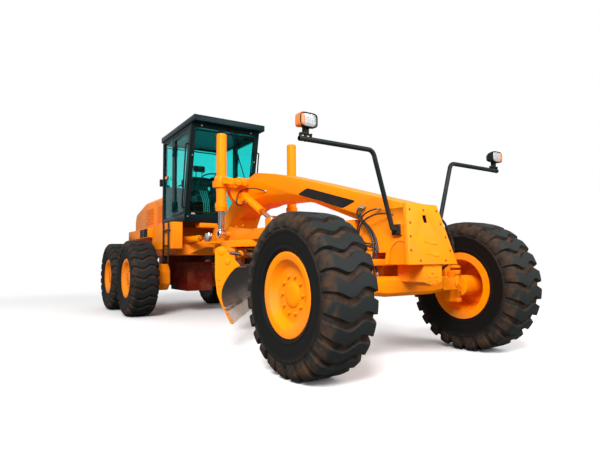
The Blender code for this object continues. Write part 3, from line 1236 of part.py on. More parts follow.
def cab_shell():
    """The hollow cab with a visored roof, open where doors and panes go."""
    shell = plate(cab_outline(0), around(0, CAB_HALF))
    roof = block((CAB_REAR_X - ROOF_VISOR / 4, CAB_FRONT_HIGH_X + ROOF_VISOR), around(0, CAB_HALF + PLATE),
                 (CAB_TOP - OVERLAP, CAB_ROOF_HEIGHT))
    across = around(0, CAB_HALF + OVERRUN)
    screen = around(0, CAB_HALF - POST)
    cutters = [plate(cab_outline(CAB_WALL), around(0, CAB_HALF - CAB_WALL)),
               block((CAB_FRONT_LOW_X - CAB_WALL * 2, CAB_FRONT_HIGH_X + OVERRUN), screen,
                     (WINDOW_LOW, WINDOW_HIGH)),
               block((CAB_REAR_X - OVERRUN, CAB_REAR_X + CAB_WALL + OVERRUN), screen,
                     (REAR_WINDOW_LOW, WINDOW_HIGH)),
               plate(door_outline(0), across), plate(quarter_outline(0), across)]
    leaves = []
    for _, side in SIDES:
        for level in HINGE_LEVELS:
            low, high = level - HINGE_HEIGHT, level - SEAT_GAP
            leaves.append(rod((DOOR_HINGE_X, side * DOOR_HINGE_Y, low),
                              (DOOR_HINGE_X, side * DOOR_HINGE_Y, high),
                              HINGE_RADIUS, SMALL_STEPS))
            leaves.append(block((DOOR_REAR_X - PLATE, DOOR_HINGE_X),
                                outward(side, CAB_HALF + SEAT_GAP, DOOR_HINGE_Y),
                                (low, high)))
            leaves.append(block((DOOR_REAR_X - PLATE * 2, DOOR_REAR_X - SEAT_GAP),
                                outward(side, CAB_HALF - OVERLAP, CAB_HALF + HINGE_RADIUS),
                                (low + OVERLAP, high - OVERLAP)))
    return node("cab_shell", fuse(cut(fuse(shell, roof), *cutters), *leaves), "cab_paint",
                (CAB_REAR_X, 0, CAB_FLOOR))


def panes():
    """The windscreen, the rear pane and the two side panes, each set in the middle of its wall."""
    low, high = WINDOW_LOW + SEAT_GAP, WINDOW_HIGH - SEAT_GAP
    half = CAB_HALF - POST - SEAT_GAP
    middle = CAB_WALL / 2
    sloping = [(front_x(low, middle), low), (front_x(high, middle), high),
               (front_x(high, middle + PANE), high),
               (front_x(low, middle + PANE), low)]
    node("windscreen", plate(sloping, around(0, half)), "glass", (CAB_FRONT_LOW_X, 0, WINDOW_LOW))
    node("rear_pane",
         block(around(CAB_REAR_X + middle, PANE / 2), around(0, half), (REAR_WINDOW_LOW + SEAT_GAP, high)),
         "glass", (CAB_REAR_X, 0, REAR_WINDOW_LOW))
    for side_name, side in SIDES:
        node(f"side_pane_{side_name}",
             plate(quarter_outline(SEAT_GAP), around(side * (CAB_HALF - middle), PANE / 2)),
             "glass", (CAB_REAR_X, side * CAB_HALF, WINDOW_LOW))


def door(side_name, side):
    """A framed glass door, hinged at its rear edge."""
    frame = plate(door_outline(RUNNING_GAP), outward(side, CAB_HALF - CAB_WALL, CAB_HALF))
    window = plate(door_outline(DOOR_RAIL), outward(side, CAB_HALF - CAB_WALL - OVERRUN, CAB_HALF + OVERRUN))
    hinge = (DOOR_HINGE_X, side * DOOR_HINGE_Y, CAB_FLOOR)
    pieces = []
    for level in HINGE_LEVELS:
        pieces.append(rod((*hinge[:2], level), (*hinge[:2], level + HINGE_HEIGHT), HINGE_RADIUS,
                          SMALL_STEPS))
        pieces.append(block((DOOR_HINGE_X, DOOR_HINGE_X + PLATE * 2),
                            outward(side, CAB_HALF - OVERLAP, DOOR_HINGE_Y),
                            (level + OVERLAP / 2, level + HINGE_HEIGHT - OVERLAP / 2)))
    node(f"door_{side_name}", fuse(cut(frame, window), *pieces), "cab_paint", hinge)
    node(f"door_pane_{side_name}", plate(door_outline(DOOR_RAIL + SEAT_GAP),
                                         around(side * (CAB_HALF - CAB_WALL / 2), PANE / 2)), "glass", hinge)


def seat():
    """A suspended seat with its box, cushion and back."""
    x = CAB_REAR_X + SEAT_CENTRE_SHARE * CAB_LENGTH
    half = SEAT_WIDTH / 2
    reach = SEAT_DEPTH_SHARE * CAB_LENGTH / 2
    top = CAB_INSIDE_FLOOR + CUSHION_TOP
    low = top - CUSHION_THICKNESS
    base = block(around(x, SEAT_BOX_HALF), around(0, SEAT_BOX_HALF), (CAB_INSIDE_FLOOR, low + PLATE))
    cushion = block(around(x, reach), around(0, half), (low, top))
    back = block(around(x - reach, SEAT_BACK_THICKNESS / 2), around(0, half),
                 (low, CAB_INSIDE_FLOOR + SEAT_BACK_TOP))
    return node("seat", fuse(base, cushion, back), "seat_fabric", (x, 0, CAB_INSIDE_FLOOR))


def console():
    """The steering column with its wheel, its panel and the lever box on its foot."""
    x = CAB_FRONT_LOW_X - CONSOLE_BEHIND_SCREEN
    floor = CAB_INSIDE_FLOOR
    head = Vector((x - COLUMN_LEAN, 0, floor + COLUMN_HEIGHT))
    foot = Vector((x, 0, floor + CONSOLE_FOOT_HEIGHT - PLATE))
    base = block((x - CONSOLE_FOOT_REAR, x + CONSOLE_FOOT_FRONT), around(0, CONSOLE_FOOT_HALF),
                 (floor, floor + CONSOLE_FOOT_HEIGHT))
    panel = block(around(x - CONSOLE_FOOT_REAR, PANEL_DEPTH / 2), around(0, PANEL_HALF),
                  (floor + PANEL_LOW, floor + PANEL_LOW + PANEL_HEIGHT))
    rise = STEERING_THICKNESS / 2
    wheel = turned([(0, rise), (STEERING_RADIUS, rise), (STEERING_RADIUS, -rise), (0, -rise)], head,
                   head - foot)
    return node("console", fuse(base, rod(foot, head, COLUMN_RADIUS), panel, wheel), "black_paint",
                (x, 0, floor))


cab_shell()
panes()
for side_name, side in SIDES:
    door(side_name, side)
seat()
console()
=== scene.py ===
"""The motor grader's looks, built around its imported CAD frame: paint, rubber, glass, hoses and trim.

The pieces follow the machine as it is put together, from the wheels up to the cab. Lengths are in
metres, X points forward, Y to the machine's left and Z up.
"""

import json
import math

import bmesh
import bpy
from mathutils import Matrix, Vector
from mathutils.bvhtree import BVHTree

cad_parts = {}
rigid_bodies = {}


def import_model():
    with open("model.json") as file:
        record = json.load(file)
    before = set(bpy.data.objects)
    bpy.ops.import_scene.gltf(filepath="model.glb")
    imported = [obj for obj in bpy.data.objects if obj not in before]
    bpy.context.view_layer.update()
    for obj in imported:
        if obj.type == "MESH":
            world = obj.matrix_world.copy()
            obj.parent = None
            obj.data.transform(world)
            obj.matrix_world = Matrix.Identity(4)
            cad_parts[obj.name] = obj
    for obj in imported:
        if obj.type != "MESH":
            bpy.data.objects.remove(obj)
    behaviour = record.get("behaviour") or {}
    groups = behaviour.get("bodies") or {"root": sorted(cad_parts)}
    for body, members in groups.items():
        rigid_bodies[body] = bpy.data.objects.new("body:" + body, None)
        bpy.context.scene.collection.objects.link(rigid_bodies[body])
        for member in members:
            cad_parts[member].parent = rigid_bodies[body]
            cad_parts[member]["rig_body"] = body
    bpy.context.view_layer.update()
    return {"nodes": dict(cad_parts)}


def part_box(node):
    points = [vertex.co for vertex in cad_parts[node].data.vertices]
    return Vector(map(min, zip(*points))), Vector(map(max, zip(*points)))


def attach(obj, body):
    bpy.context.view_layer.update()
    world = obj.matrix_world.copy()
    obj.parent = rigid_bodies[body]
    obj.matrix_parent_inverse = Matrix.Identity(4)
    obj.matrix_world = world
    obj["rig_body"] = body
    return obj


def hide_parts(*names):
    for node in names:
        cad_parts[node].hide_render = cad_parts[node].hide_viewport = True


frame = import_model()
scene = bpy.context.scene

# The photograph's view: a camera low beside the right front wheel, looking back along the machine.
# Its place and lens were fitted to the wheels, the roof and the lamp arms.
CAMERA_PLACE = Vector((6.940, -3.232, 0.940))
CAMERA_YAW = math.radians(146.54)
CAMERA_PITCH = math.radians(3.85)
CAMERA_ROLL = math.radians(-0.5)
CAMERA_LENS = 27.65
SENSOR_WIDTH = 36.0

camera_data = bpy.data.cameras.new("photo_camera")
camera_data.lens = CAMERA_LENS
camera_data.sensor_width = SENSOR_WIDTH
camera_data.clip_end = 200.0
camera = bpy.data.objects.new("photo_camera", camera_data)
scene.collection.objects.link(camera)
view_direction = Vector((math.cos(CAMERA_YAW) * math.cos(CAMERA_PITCH),
                         math.sin(CAMERA_YAW) * math.cos(CAMERA_PITCH), math.sin(CAMERA_PITCH)))
level_view = view_direction.to_track_quat("-Z", "Y").to_matrix().to_4x4()
camera.matrix_world = Matrix.Translation(CAMERA_PLACE) @ level_view @ Matrix.Rotation(CAMERA_ROLL, 4, "Z")
scene.camera = camera
scene.view_settings.view_transform = "Standard"

# The studio: a white floor that fades into the white backdrop, a soft sky and two broad lamps.
# The floor is plain near the machine, so that it takes its shadow, and glows white far away. Only the
# camera sees it white: the light that it throws back up is that of a dark yard.
FLOOR_HALF = 60.0
FLOOR_COLOUR = (0.94, 0.94, 0.94, 1.0)
FLOOR_FADE = (6.0, 11.0)
SKY_STRENGTH = 0.66
LAMPS = (("key_lamp", (10.5, -8.0, 9.0), 5.0, 2700.0),
         ("front_lamp", (13.0, 5.0, 7.0), 8.0, 1000.0))
BOUNCE_COLOUR = (0.22, 0.22, 0.22, 1.0)
LAMP_TARGET = Vector((0.8, 0.0, 1.2))
WHITE = (1.0, 1.0, 1.0, 1.0)


def feed(tree, made, sockets):
    """Give each named socket of a shader node its value, or a link from the socket that feeds it."""
    for socket, source in sockets.items():
        if isinstance(source, bpy.types.NodeSocket):
            tree.links.new(source, made.inputs[socket])
        else:
            made.inputs[socket].default_value = source


def node(tree, kind, sockets=None, **settings):
    """A new shader node with its settings made and its sockets fed."""
    made = tree.nodes.new("ShaderNode" + kind)
    for setting, value in settings.items():
        setattr(made, setting, value)
    feed(tree, made, sockets or {})
    return made


def looked_at(tree):
    """One where the camera looks, also through glass, and nought for all other light."""
    path = node(tree, "LightPath")
    return node(tree, "Math", {0: path.outputs["Is Camera Ray"], 1: path.outputs["Is Transmission Ray"]},
                operation="MAXIMUM").outputs[0]
floor_build = bmesh.new()
bmesh.ops.create_grid(floor_build, x_segments=1, y_segments=1, size=FLOOR_HALF)
floor_mesh = bpy.data.meshes.new("studio_floor")
floor_build.to_mesh(floor_mesh)
floor_build.free()
floor = bpy.data.objects.new("studio_floor", floor_mesh)
scene.collection.objects.link(floor)
floor_paint = bpy.data.materials.new("studio_floor")
floor_paint.use_nodes = True
tree = floor_paint.node_tree
tree.nodes.clear()
distance = node(tree, "VectorMath", {0: node(tree, "TexCoord").outputs["Object"]}, operation="LENGTH")
fade = node(tree, "MapRange", {"Value": distance.outputs["Value"], "From Min": FLOOR_FADE[0],
                               "From Max": FLOOR_FADE[1]}, interpolation_type="SMOOTHSTEP")
matt = node(tree, "BsdfDiffuse", {"Color": FLOOR_COLOUR})
glow = node(tree, "Emission")
mixed = node(tree, "MixShader", {"Fac": fade.outputs["Result"], 1: matt.outputs["BSDF"],
                                 2: glow.outputs["Emission"]})
dim = node(tree, "BsdfDiffuse", {"Color": BOUNCE_COLOUR})
shown = node(tree, "MixShader", {"Fac": looked_at(tree), 1: dim.outputs["BSDF"], 2: mixed.outputs["Shader"]})
node(tree, "OutputMaterial", {"Surface": shown.outputs["Shader"]})
floor_mesh.materials.append(floor_paint)

world = bpy.data.worlds.new("studio_sky")
scene.world = world
world.use_nodes = True
tree = world.node_tree
tree.nodes.clear()
soft_sky = node(tree, "Background", {"Color": WHITE, "Strength": SKY_STRENGTH})
white_sky = node(tree, "Background", {"Color": WHITE})
sky_mix = node(tree, "MixShader", {"Fac": looked_at(tree), 1: soft_sky.outputs["Background"],
                                   2: white_sky.outputs["Background"]})
node(tree, "OutputWorld", {"Surface": sky_mix.outputs["Shader"]})

for lamp_name, lamp_place, lamp_size, lamp_power in LAMPS:
    lamp_data = bpy.data.lights.new(lamp_name, "AREA")
    lamp_data.size = lamp_size
    lamp_data.energy = lamp_power
    lamp = bpy.data.objects.new(lamp_name, lamp_data)
    scene.collection.objects.link(lamp)
    aim = (LAMP_TARGET - Vector(lamp_place)).to_track_quat("-Z", "Y")
    lamp.matrix_world = Matrix.Translation(Vector(lamp_place)) @ aim.to_matrix().to_4x4()

# Tyres: six lugged earthmover tyres of black rubber, with wavy bars from shoulder to shoulder.
# One mesh serves all six. Its bars are dark and rubbed, and pale brown dust lies in the grooves.
TYRE_LUGS = 24
LUG_STATIONS = ((0.0, 0.0), (0.10, 0.0), (0.22, 0.0), (0.32, 0.0), (0.36, 0.75), (0.385, 1.0), (0.50, 1.0),
                (0.66, 1.0), (0.82, 1.0), (0.955, 1.0), (0.98, 0.75))
# Across one half, from the bead to the middle: bare carcass radius and offset, then how far a bar stands
# proud of it, outward and sideways
TYRE_RINGS = ((0.3495, 0.186, 0.0, 0.0), (0.3515, 0.1925, 0.0, 0.0), (0.360, 0.2010, 0.0, 0.0),
              (0.374, 0.2080, 0.0, 0.0), (0.378, 0.2125, 0.0, 0.0), (0.392, 0.2150, 0.0, 0.0),
              (0.397, 0.2125, 0.0, 0.0), (0.430, 0.2195, 0.0, 0.0), (0.470, 0.2250, 0.0, 0.0),
              (0.508, 0.2265, 0.0, 0.0), (0.513, 0.2300, 0.0, 0.0), (0.524, 0.2300, 0.0, 0.0),
              (0.529, 0.2250, 0.0, 0.0), (0.546, 0.2225, 0.000, 0.0010), (0.550, 0.2215, 0.002, 0.0105),
              (0.572, 0.2150, 0.003, 0.0190), (0.596, 0.2050, 0.006, 0.0250), (0.616, 0.1910, 0.012, 0.0290),
              (0.628, 0.1770, 0.020, 0.0260), (0.634, 0.1660, 0.0345, 0.0180),
              (0.638, 0.1520, 0.0350, 0.0080), (0.641, 0.1260, 0.0345, 0.0), (0.643, 0.0960, 0.0335, 0.0),
              (0.6435, 0.0640, 0.0330, 0.0), (0.644, 0.0320, 0.0330, 0.0), (0.644, 0.0, 0.0330, 0.0))
# How far a bar's middle line strays from square, as a share of the bars' pitch, across the tread
WAVE_STATIONS = ((-0.2375, 0.0), (-0.209, 0.0), (-0.0665, -0.30), (0.076, 0.12), (0.209, -0.14),
                 (0.2375, -0.15))
WAVE_STARTS_RADIUS = 0.545
WAVE_FULL_RADIUS = 0.635
RUBBER = (0.0145, 0.0170, 0.0165, 1.0)
SIDEWALL = (0.0055, 0.0055, 0.0052, 1.0)
GROOVE_DUST = (0.062, 0.033, 0.019, 1.0)


def wave_at(offset):
    """The bar's stray from square at an offset from the tyre's middle, smooth between its stations."""
    if offset <= WAVE_STATIONS[0][0]:
        return WAVE_STATIONS[0][1]
    for (low, low_stray), (high, high_stray) in zip(WAVE_STATIONS, WAVE_STATIONS[1:]):
        if offset <= high:
            share = (offset - low) / (high - low)
            return low_stray + (high_stray - low_stray) * share * share * (3 - 2 * share)
    return WAVE_STATIONS[-1][1]


def skin(build, rows, closed=True):
    """Faces between rows of vertices, which close on themselves or stay open at their ends."""
    for near, far in zip(rows, rows[1:]):
        for step in range(len(near) if closed else len(near) - 1):
            after = (step + 1) % len(near)
            corners = tuple(dict.fromkeys((near[step], near[after], far[after], far[step])))
            if len(corners) > 2:
                build.faces.new(corners)


def new_material(name):
    """A new material, with its node tree and its Principled shader."""
    made = bpy.data.materials.new(name)
    made.use_nodes = True
    return made, made.node_tree, made.node_tree.nodes["Principled BSDF"]


def noise(tree, spot, scale, detail, roughness=0.5):
    """A cloudy noise over a place."""
    made = node(tree, "TexNoise", {"Vector": spot, "Scale": scale, "Detail": detail, "Roughness": roughness})
    return made.outputs["Fac"]


def stretch(tree, source, low, high, to_low=0.0, to_high=1.0):
    """A value carried from one range to another, and held within it."""
    return node(tree, "MapRange", {"Value": source, "From Min": low, "From Max": high, "To Min": to_low,
                                   "To Max": to_high}).outputs["Result"]


def times(tree, first, second, clamp=False):
    """The product of two values."""
    return node(tree, "Math", {0: first, 1: second}, operation="MULTIPLY", use_clamp=clamp).outputs[0]


def blend(tree, factor, first, second):
    """A colour between two others."""
    return node(tree, "Mix", {"Factor": factor, "A": first, "B": second}, data_type="RGBA").outputs["Result"]


def bump(tree, height, strength, distance, **more):
    """A surface roughened by a height."""
    made = node(tree, "Bump", {"Height": height, "Strength": strength, "Distance": distance, **more})
    return made.outputs["Normal"]


tyre_build = bmesh.new()
half_rings = [(radius, -offset, rise, -side) for radius, offset, rise, side in TYRE_RINGS]
tyre_rings = half_rings + [(radius, -offset, rise, -side)
                           for radius, offset, rise, side in half_rings[-2::-1]]
pitch = math.tau / TYRE_LUGS
grid = []
for radius, offset, rise, side in tyre_rings:
    full = (radius - WAVE_STARTS_RADIUS) / (WAVE_FULL_RADIUS - WAVE_STARTS_RADIUS)
    stray = wave_at(offset) * max(0.0, min(1.0, full)) * pitch
    row = []
    for lug in range(TYRE_LUGS):
        for station, proud in LUG_STATIONS:
            angle = (lug + station) * pitch + stray
            reach = radius + rise * proud
            row.append(tyre_build.verts.new((math.cos(angle) * reach, offset + side * proud,
                                             math.sin(angle) * reach)))
    grid.append(row)
skin(tyre_build, grid)
for face in tyre_build.faces:
    face.smooth = True
bmesh.ops.recalc_face_normals(tyre_build, faces=tyre_build.faces[:])
tyre_mesh = bpy.data.meshes.new("lugged_tyre")
tyre_build.to_mesh(tyre_mesh)
tyre_build.free()
tyre_mesh.set_sharp_from_angle(angle=math.radians(38))

# The grooves' dust lies outside the smooth side walls, and below the bars' tops
rubber, tree, shader = new_material("dusted_rubber")
spot = node(tree, "TexCoord").outputs["Object"]
split = node(tree, "SeparateXYZ", {0: spot})
flat_place = node(tree, "CombineXYZ", {"X": split.outputs["X"], "Z": split.outputs["Z"]})
radius_now = node(tree, "VectorMath", {0: flat_place.outputs[0]}, operation="LENGTH").outputs["Value"]
shoulder = stretch(tree, radius_now, 0.50, 0.60)
groove = stretch(tree, radius_now, 0.672, 0.652)
smear = stretch(tree, noise(tree, spot, 16.0, 6.0), 0.36, 0.66)
dusty = times(tree, times(tree, shoulder, groove), smear)
walls = blend(tree, shoulder, SIDEWALL, RUBBER)
feed(tree, shader, {"Base Color": blend(tree, dusty, walls, GROOVE_DUST),
                    "Roughness": stretch(tree, dusty, 0.0, 1.0, 0.55, 0.9),
                    "Normal": bump(tree, noise(tree, spot, 130.0, 4.0), 0.25, 0.002),
                    "Specular IOR Level": 0.10})
tyre_mesh.materials.append(rubber)

SIDES = (("right", -1), ("left", 1))
WHEEL_BODIES = [(place_name, side_name) for place_name in ("front", "middle", "rear")
                for side_name in ("right", "left")]
wheel_centres = {}
for place_name, side_name in WHEEL_BODIES:
    low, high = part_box(f"{place_name}_tyre_{side_name}")
    wheel_centres[place_name, side_name] = (low + high) / 2
    tyre = bpy.data.objects.new(f"{place_name}_tyre_rubber_{side_name}", tyre_mesh)
    scene.collection.objects.link(tyre)
    tyre.location = wheel_centres[place_name, side_name]
    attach(tyre, f"{place_name}_wheel_{side_name}")
    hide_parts(f"{place_name}_tyre_{side_name}")

# Rims: six dished steel rims, pressed and welded, painted orange. A ring of ten nuts holds each disc to
# its hub, with a turned cap in the middle, and a valve stands in the dish.
RIM_PROFILE = ((0.0, 0.1535), (0.040, 0.1535), (0.072, 0.1505), (0.094, 0.1440), (0.105, 0.1350),
               (0.106, 0.1310), (0.122, 0.1295), (0.190, 0.1295), (0.214, 0.1290), (0.228, 0.1310),
               (0.238, 0.1370), (0.262, 0.1640), (0.270, 0.1740), (0.276, 0.1800), (0.283, 0.1905),
               (0.300, 0.1960), (0.330, 0.1992), (0.3440, 0.1985), (0.3488, 0.1940), (0.3488, 0.1860),
               (0.3170, 0.1850), (0.3170, -0.1850), (0.3488, -0.1860), (0.3488, -0.1990), (0.2760, -0.1990),
               (0.2350, 0.1060), (0.0, 0.1060))
RIM_STEPS = 72
RIM_NUTS = 10
NUT_CIRCLE = 0.154
NUT_RADIUS = 0.0145
NUT_HEIGHT = 0.020
DISC_HEIGHT = 0.1295
VALVE_PLACE = (0.205, 0.131)
VALVE_RADIUS = 0.006
VALVE_LENGTH = 0.045
ORANGE = (1.0, 0.25, 0.0, 1.0)
ROAD_DUST = (0.42, 0.20, 0.085, 1.0)
WORN_STEEL = (0.16, 0.11, 0.08, 1.0)
EDGE_REACH = 0.007


def group_sockets(group, inputs, outputs):
    """Declare a shader group's sockets and return its two end nodes."""
    for name, kind, value in inputs:
        socket = group.interface.new_socket(name, in_out="INPUT", socket_type="NodeSocket" + kind)
        socket.default_value = value
    for name, kind in outputs:
        group.interface.new_socket(name, in_out="OUTPUT", socket_type="NodeSocket" + kind)
    return group.nodes.new("NodeGroupInput"), group.nodes.new("NodeGroupOutput")


# Weathered coat, the effect that all painted pieces share: faded patches, dust in blotches and low down,
# chipped edges and a faint orange-peel surface.
weathered = bpy.data.node_groups.new("weathered_coat", "ShaderNodeTree")
inside, outside = group_sockets(
    weathered,
    (("Paint", "Color", ORANGE), ("Dust", "Color", ROAD_DUST), ("Bare", "Color", WORN_STEEL),
     ("Dustiness", "Float", 0.3), ("Wear", "Float", 0.5), ("Gloss", "Float", 0.4), ("Fade", "Float", 0.12)),
    (("Color", "Color"), ("Roughness", "Float"), ("Height", "Float"), ("Normal", "Vector")))
spot = node(weathered, "TexCoord").outputs["Object"]
blotch = noise(weathered, spot, 2.3, 7.0, 0.62)
speck = noise(weathered, spot, 34.0, 5.0, 0.7)
low_down = stretch(weathered, node(weathered, "SeparateXYZ", {0: spot}).outputs["Z"], 1.9, 0.3, 0.25, 1.0)
patches = times(weathered, stretch(weathered, blotch, 0.44, 0.72),
                stretch(weathered, speck, 0.35, 0.75, 0.35))
dust_amount = times(weathered, times(weathered, patches, low_down), inside.outputs["Dustiness"], clamp=True)
rounded = node(weathered, "Bevel", {"Radius": EDGE_REACH}, samples=4).outputs["Normal"]
plain = node(weathered, "NewGeometry").outputs["Normal"]
facing = node(weathered, "VectorMath", {0: rounded, 1: plain}, operation="DOT_PRODUCT").outputs["Value"]
chipped = times(weathered, stretch(weathered, facing, 0.995, 0.80), stretch(weathered, speck, 0.50, 0.62))
worn = times(weathered, chipped, inside.outputs["Wear"], clamp=True)
kept = node(weathered, "Math", {0: 1.0, 1: times(weathered, blotch, inside.outputs["Fade"])},
            operation="SUBTRACT")
faded = node(weathered, "VectorMath", {0: inside.outputs["Paint"], "Scale": kept.outputs[0]},
             operation="SCALE")
dusted = blend(weathered, dust_amount, faded.outputs["Vector"], inside.outputs["Dust"])
matt = node(weathered, "Math", {0: dust_amount, 1: 0.45, 2: inside.outputs["Gloss"]},
            operation="MULTIPLY_ADD")
feed(weathered, outside, {"Color": blend(weathered, worn, dusted, inside.outputs["Bare"]),
                          "Roughness": matt.outputs[0],
                          "Height": noise(weathered, spot, 260.0, 2.0),
                          "Normal": rounded})


def coated(name, paint, dust=ROAD_DUST, bare=WORN_STEEL, dustiness=0.3, wear=0.5, gloss=0.4, fade=0.12,
           metallic=0.0, specular=0.07):
    """A painted or bare metal, plastic or rubber with the weathered coat's effects in its own amounts."""
    made, tree, shader = new_material(name)
    look = tree.nodes.new("ShaderNodeGroup")
    look.node_tree = weathered
    feed(tree, look, {"Paint": paint, "Dust": dust, "Bare": bare, "Dustiness": dustiness, "Wear": wear,
                      "Gloss": gloss, "Fade": fade})
    feed(tree, shader, {"Base Color": look.outputs["Color"],
                        "Roughness": look.outputs["Roughness"],
                        "Normal": bump(tree, look.outputs["Height"], 0.12, 0.0006,
                                       Normal=look.outputs["Normal"]),
                        "Metallic": metallic,
                        "Specular IOR Level": specular})
    return made


def piece(name, build, material, body, replaces=(), sharp=35):
    """Make a finished bmesh a smooth-shaded piece that rides on a CAD body."""
    bmesh.ops.remove_doubles(build, verts=build.verts[:], dist=0.00002)
    bmesh.ops.recalc_face_normals(build, faces=build.faces[:])
    for face in build.faces:
        face.smooth = True
    mesh = bpy.data.meshes.new(name)
    build.to_mesh(mesh)
    build.free()
    mesh.set_sharp_from_angle(angle=math.radians(sharp))
    mesh.materials.append(material)
    made = bpy.data.objects.new(name, mesh)
    scene.collection.objects.link(made)
    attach(made, body)
    if replaces:
        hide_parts(*replaces)
    return made


def placed(centre, axis=(0, 0, 1)):
    """The transform that carries the origin to a centre and Z to an axis."""
    turn = Vector((0, 0, 1)).rotation_difference(Vector(axis)).to_matrix().to_4x4()
    return Matrix.Translation(Vector(centre)) @ turn


def around(count, radius, height=0.0, start=0.0):
    """Places evenly spaced on a circle about Z, at a height and from a starting angle."""
    turns = [start + math.tau * step / count for step in range(count)]
    return [Vector((radius * math.cos(turn), radius * math.sin(turn), height)) for turn in turns]


def lathe(build, profile, place, steps=48, closed=False):
    """Turn (radius, height) places about Z, then carry them to their place."""
    rings = []
    for radius, height in profile:
        if radius == 0:
            rings.append([build.verts.new(place @ Vector((0, 0, height)))] * steps)
        else:
            rings.append([build.verts.new(place @ point) for point in around(steps, radius, height)])
    if closed:
        rings.append(rings[0])
    skin(build, rings)


def nuts(build, places, axis, radius, height, washer=1.35):
    """Chamfered hexagon nuts on washers, standing on their places along an axis."""
    for centre in places:
        place = placed(centre, axis)
        lathe(build, ((radius * washer, 0.0), (radius * washer, height * 0.16), (radius, height * 0.18)),
              place, 16)
        lathe(build, ((radius, height * 0.16), (radius, height * 0.86), (radius * 0.84, height),
                      (0.0, height)), place, 6)


orange_paint = coated("orange_paint_wheels", ORANGE, dustiness=0.75, wear=0.5, gloss=0.42)
for place_name, side_name in WHEEL_BODIES:
    hand = 1 if side_name == "left" else -1
    build = bmesh.new()
    spindle = placed(wheel_centres[place_name, side_name], (0, hand, 0))
    lathe(build, RIM_PROFILE, spindle, RIM_STEPS)
    ring = [spindle @ point for point in around(RIM_NUTS, NUT_CIRCLE, DISC_HEIGHT)]
    nuts(build, ring, (0, hand, 0), NUT_RADIUS, NUT_HEIGHT)
    lathe(build, ((VALVE_RADIUS, 0.0), (VALVE_RADIUS, VALVE_LENGTH * 0.7), (VALVE_RADIUS * 0.7, VALVE_LENGTH),
                  (0.0, VALVE_LENGTH)), spindle @ Matrix.Translation((VALVE_PLACE[0], 0, VALVE_PLACE[1])), 12)
    piece(f"{place_name}_rim_dish_{side_name}", build, orange_paint, f"{place_name}_wheel_{side_name}",
          (f"{place_name}_rim_{side_name}",), sharp=30)

# Front axle: a welded box beam on a pivot block below the nose, with a lean fork and a steering knuckle at
# each end and a link bar that ties the forks. Plate steel and castings, painted with the frame.
STEEL_ROUNDING = 0.006
PIVOT_BOLTS = ((-0.045, 0.800), (0.045, 0.800), (0.0, 0.835), (-0.050, 0.765), (0.050, 0.765), (0.0, 0.745))
PIVOT_FACE_X = 4.173
LEAN_PIN_RADIUS = 0.034
KINGPIN_CAP = ((0.062, 0.0), (0.062, 0.012), (0.046, 0.020), (0.046, 0.028), (0.0, 0.030))
KINGPIN_REACH = 0.81
LEAN_PIN_PLACE = (0.14, 0.66, 0.71)


def softened(name, material, rounding=STEEL_ROUNDING, limit=38):
    """A CAD steel piece with its flat faces joined and its edges rounded, like cast and welded plate."""
    node = frame["nodes"][name]
    build = bmesh.new()
    build.from_mesh(node.data)
    bmesh.ops.remove_doubles(build, verts=build.verts[:], dist=0.0001)
    bmesh.ops.dissolve_limit(build, angle_limit=math.radians(1.5), verts=build.verts[:], edges=build.edges[:])
    for face in build.faces:
        face.smooth = True
    mesh = bpy.data.meshes.new(name + "_shaped")
    build.to_mesh(mesh)
    build.free()
    made = bpy.data.objects.new(name + "_shaped", mesh)
    scene.collection.objects.link(made)
    edges = made.modifiers.new("rounded_edges", "BEVEL")
    edges.width = rounding
    edges.segments = 2
    edges.limit_method = "ANGLE"
    edges.angle_limit = math.radians(limit)
    edges.harden_normals = True
    shaped = bpy.data.meshes.new_from_object(made.evaluated_get(bpy.context.evaluated_depsgraph_get()))
    made.modifiers.clear()
    made.data = shaped
    shaped.name = name + "_shaped"
    shaped.materials.clear()
    shaped.materials.append(material)
    for face in shaped.polygons:
        face.material_index = 0
    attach(made, node["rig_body"])
    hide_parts(name)
    return made


frame_paint = coated("orange_paint_frame", ORANGE, dustiness=0.45, wear=0.45, gloss=0.38)
front_axle_x = wheel_centres["front", "right"].x
for node_name in ("front_axle", "lean_fork_right", "lean_fork_left", "knuckle_right", "knuckle_left",
                  "lean_link"):
    softened(node_name, frame_paint)
build = bmesh.new()
nuts(build, [(PIVOT_FACE_X, y, z) for y, z in PIVOT_BOLTS], (1, 0, 0), 0.009, 0.007)
piece("pivot_block_bolts", build, frame_paint, "front")
for side_name, hand in SIDES:
    knuckle_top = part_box(f"knuckle_{side_name}")[1].z
    cap_place = placed((front_axle_x, hand * KINGPIN_REACH, knuckle_top))
    build = bmesh.new()
    lathe(build, KINGPIN_CAP, cap_place, 28)
    nuts(build, [cap_place @ point for point in around(4, 0.047, 0.012, 0.6)], (0, 0, 1), 0.007, 0.007)
    piece(f"kingpin_cap_{side_name}", build, frame_paint, f"steering_{side_name}")
    ahead, reach, level = LEAN_PIN_PLACE
    pin_place = Vector((front_axle_x + ahead, hand * reach, level))
    build = bmesh.new()
    lathe(build, ((LEAN_PIN_RADIUS, -0.004), (LEAN_PIN_RADIUS, 0.010), (LEAN_PIN_RADIUS * 0.8, 0.014),
                  (0.0, 0.014)),
          placed(pin_place, (1, 0, 0)), 28)
    nuts(build, [pin_place + Vector((0.012, 0, 0))], (1, 0, 0), 0.013, 0.010)
    piece(f"lean_pin_{side_name}", build, frame_paint, "front")

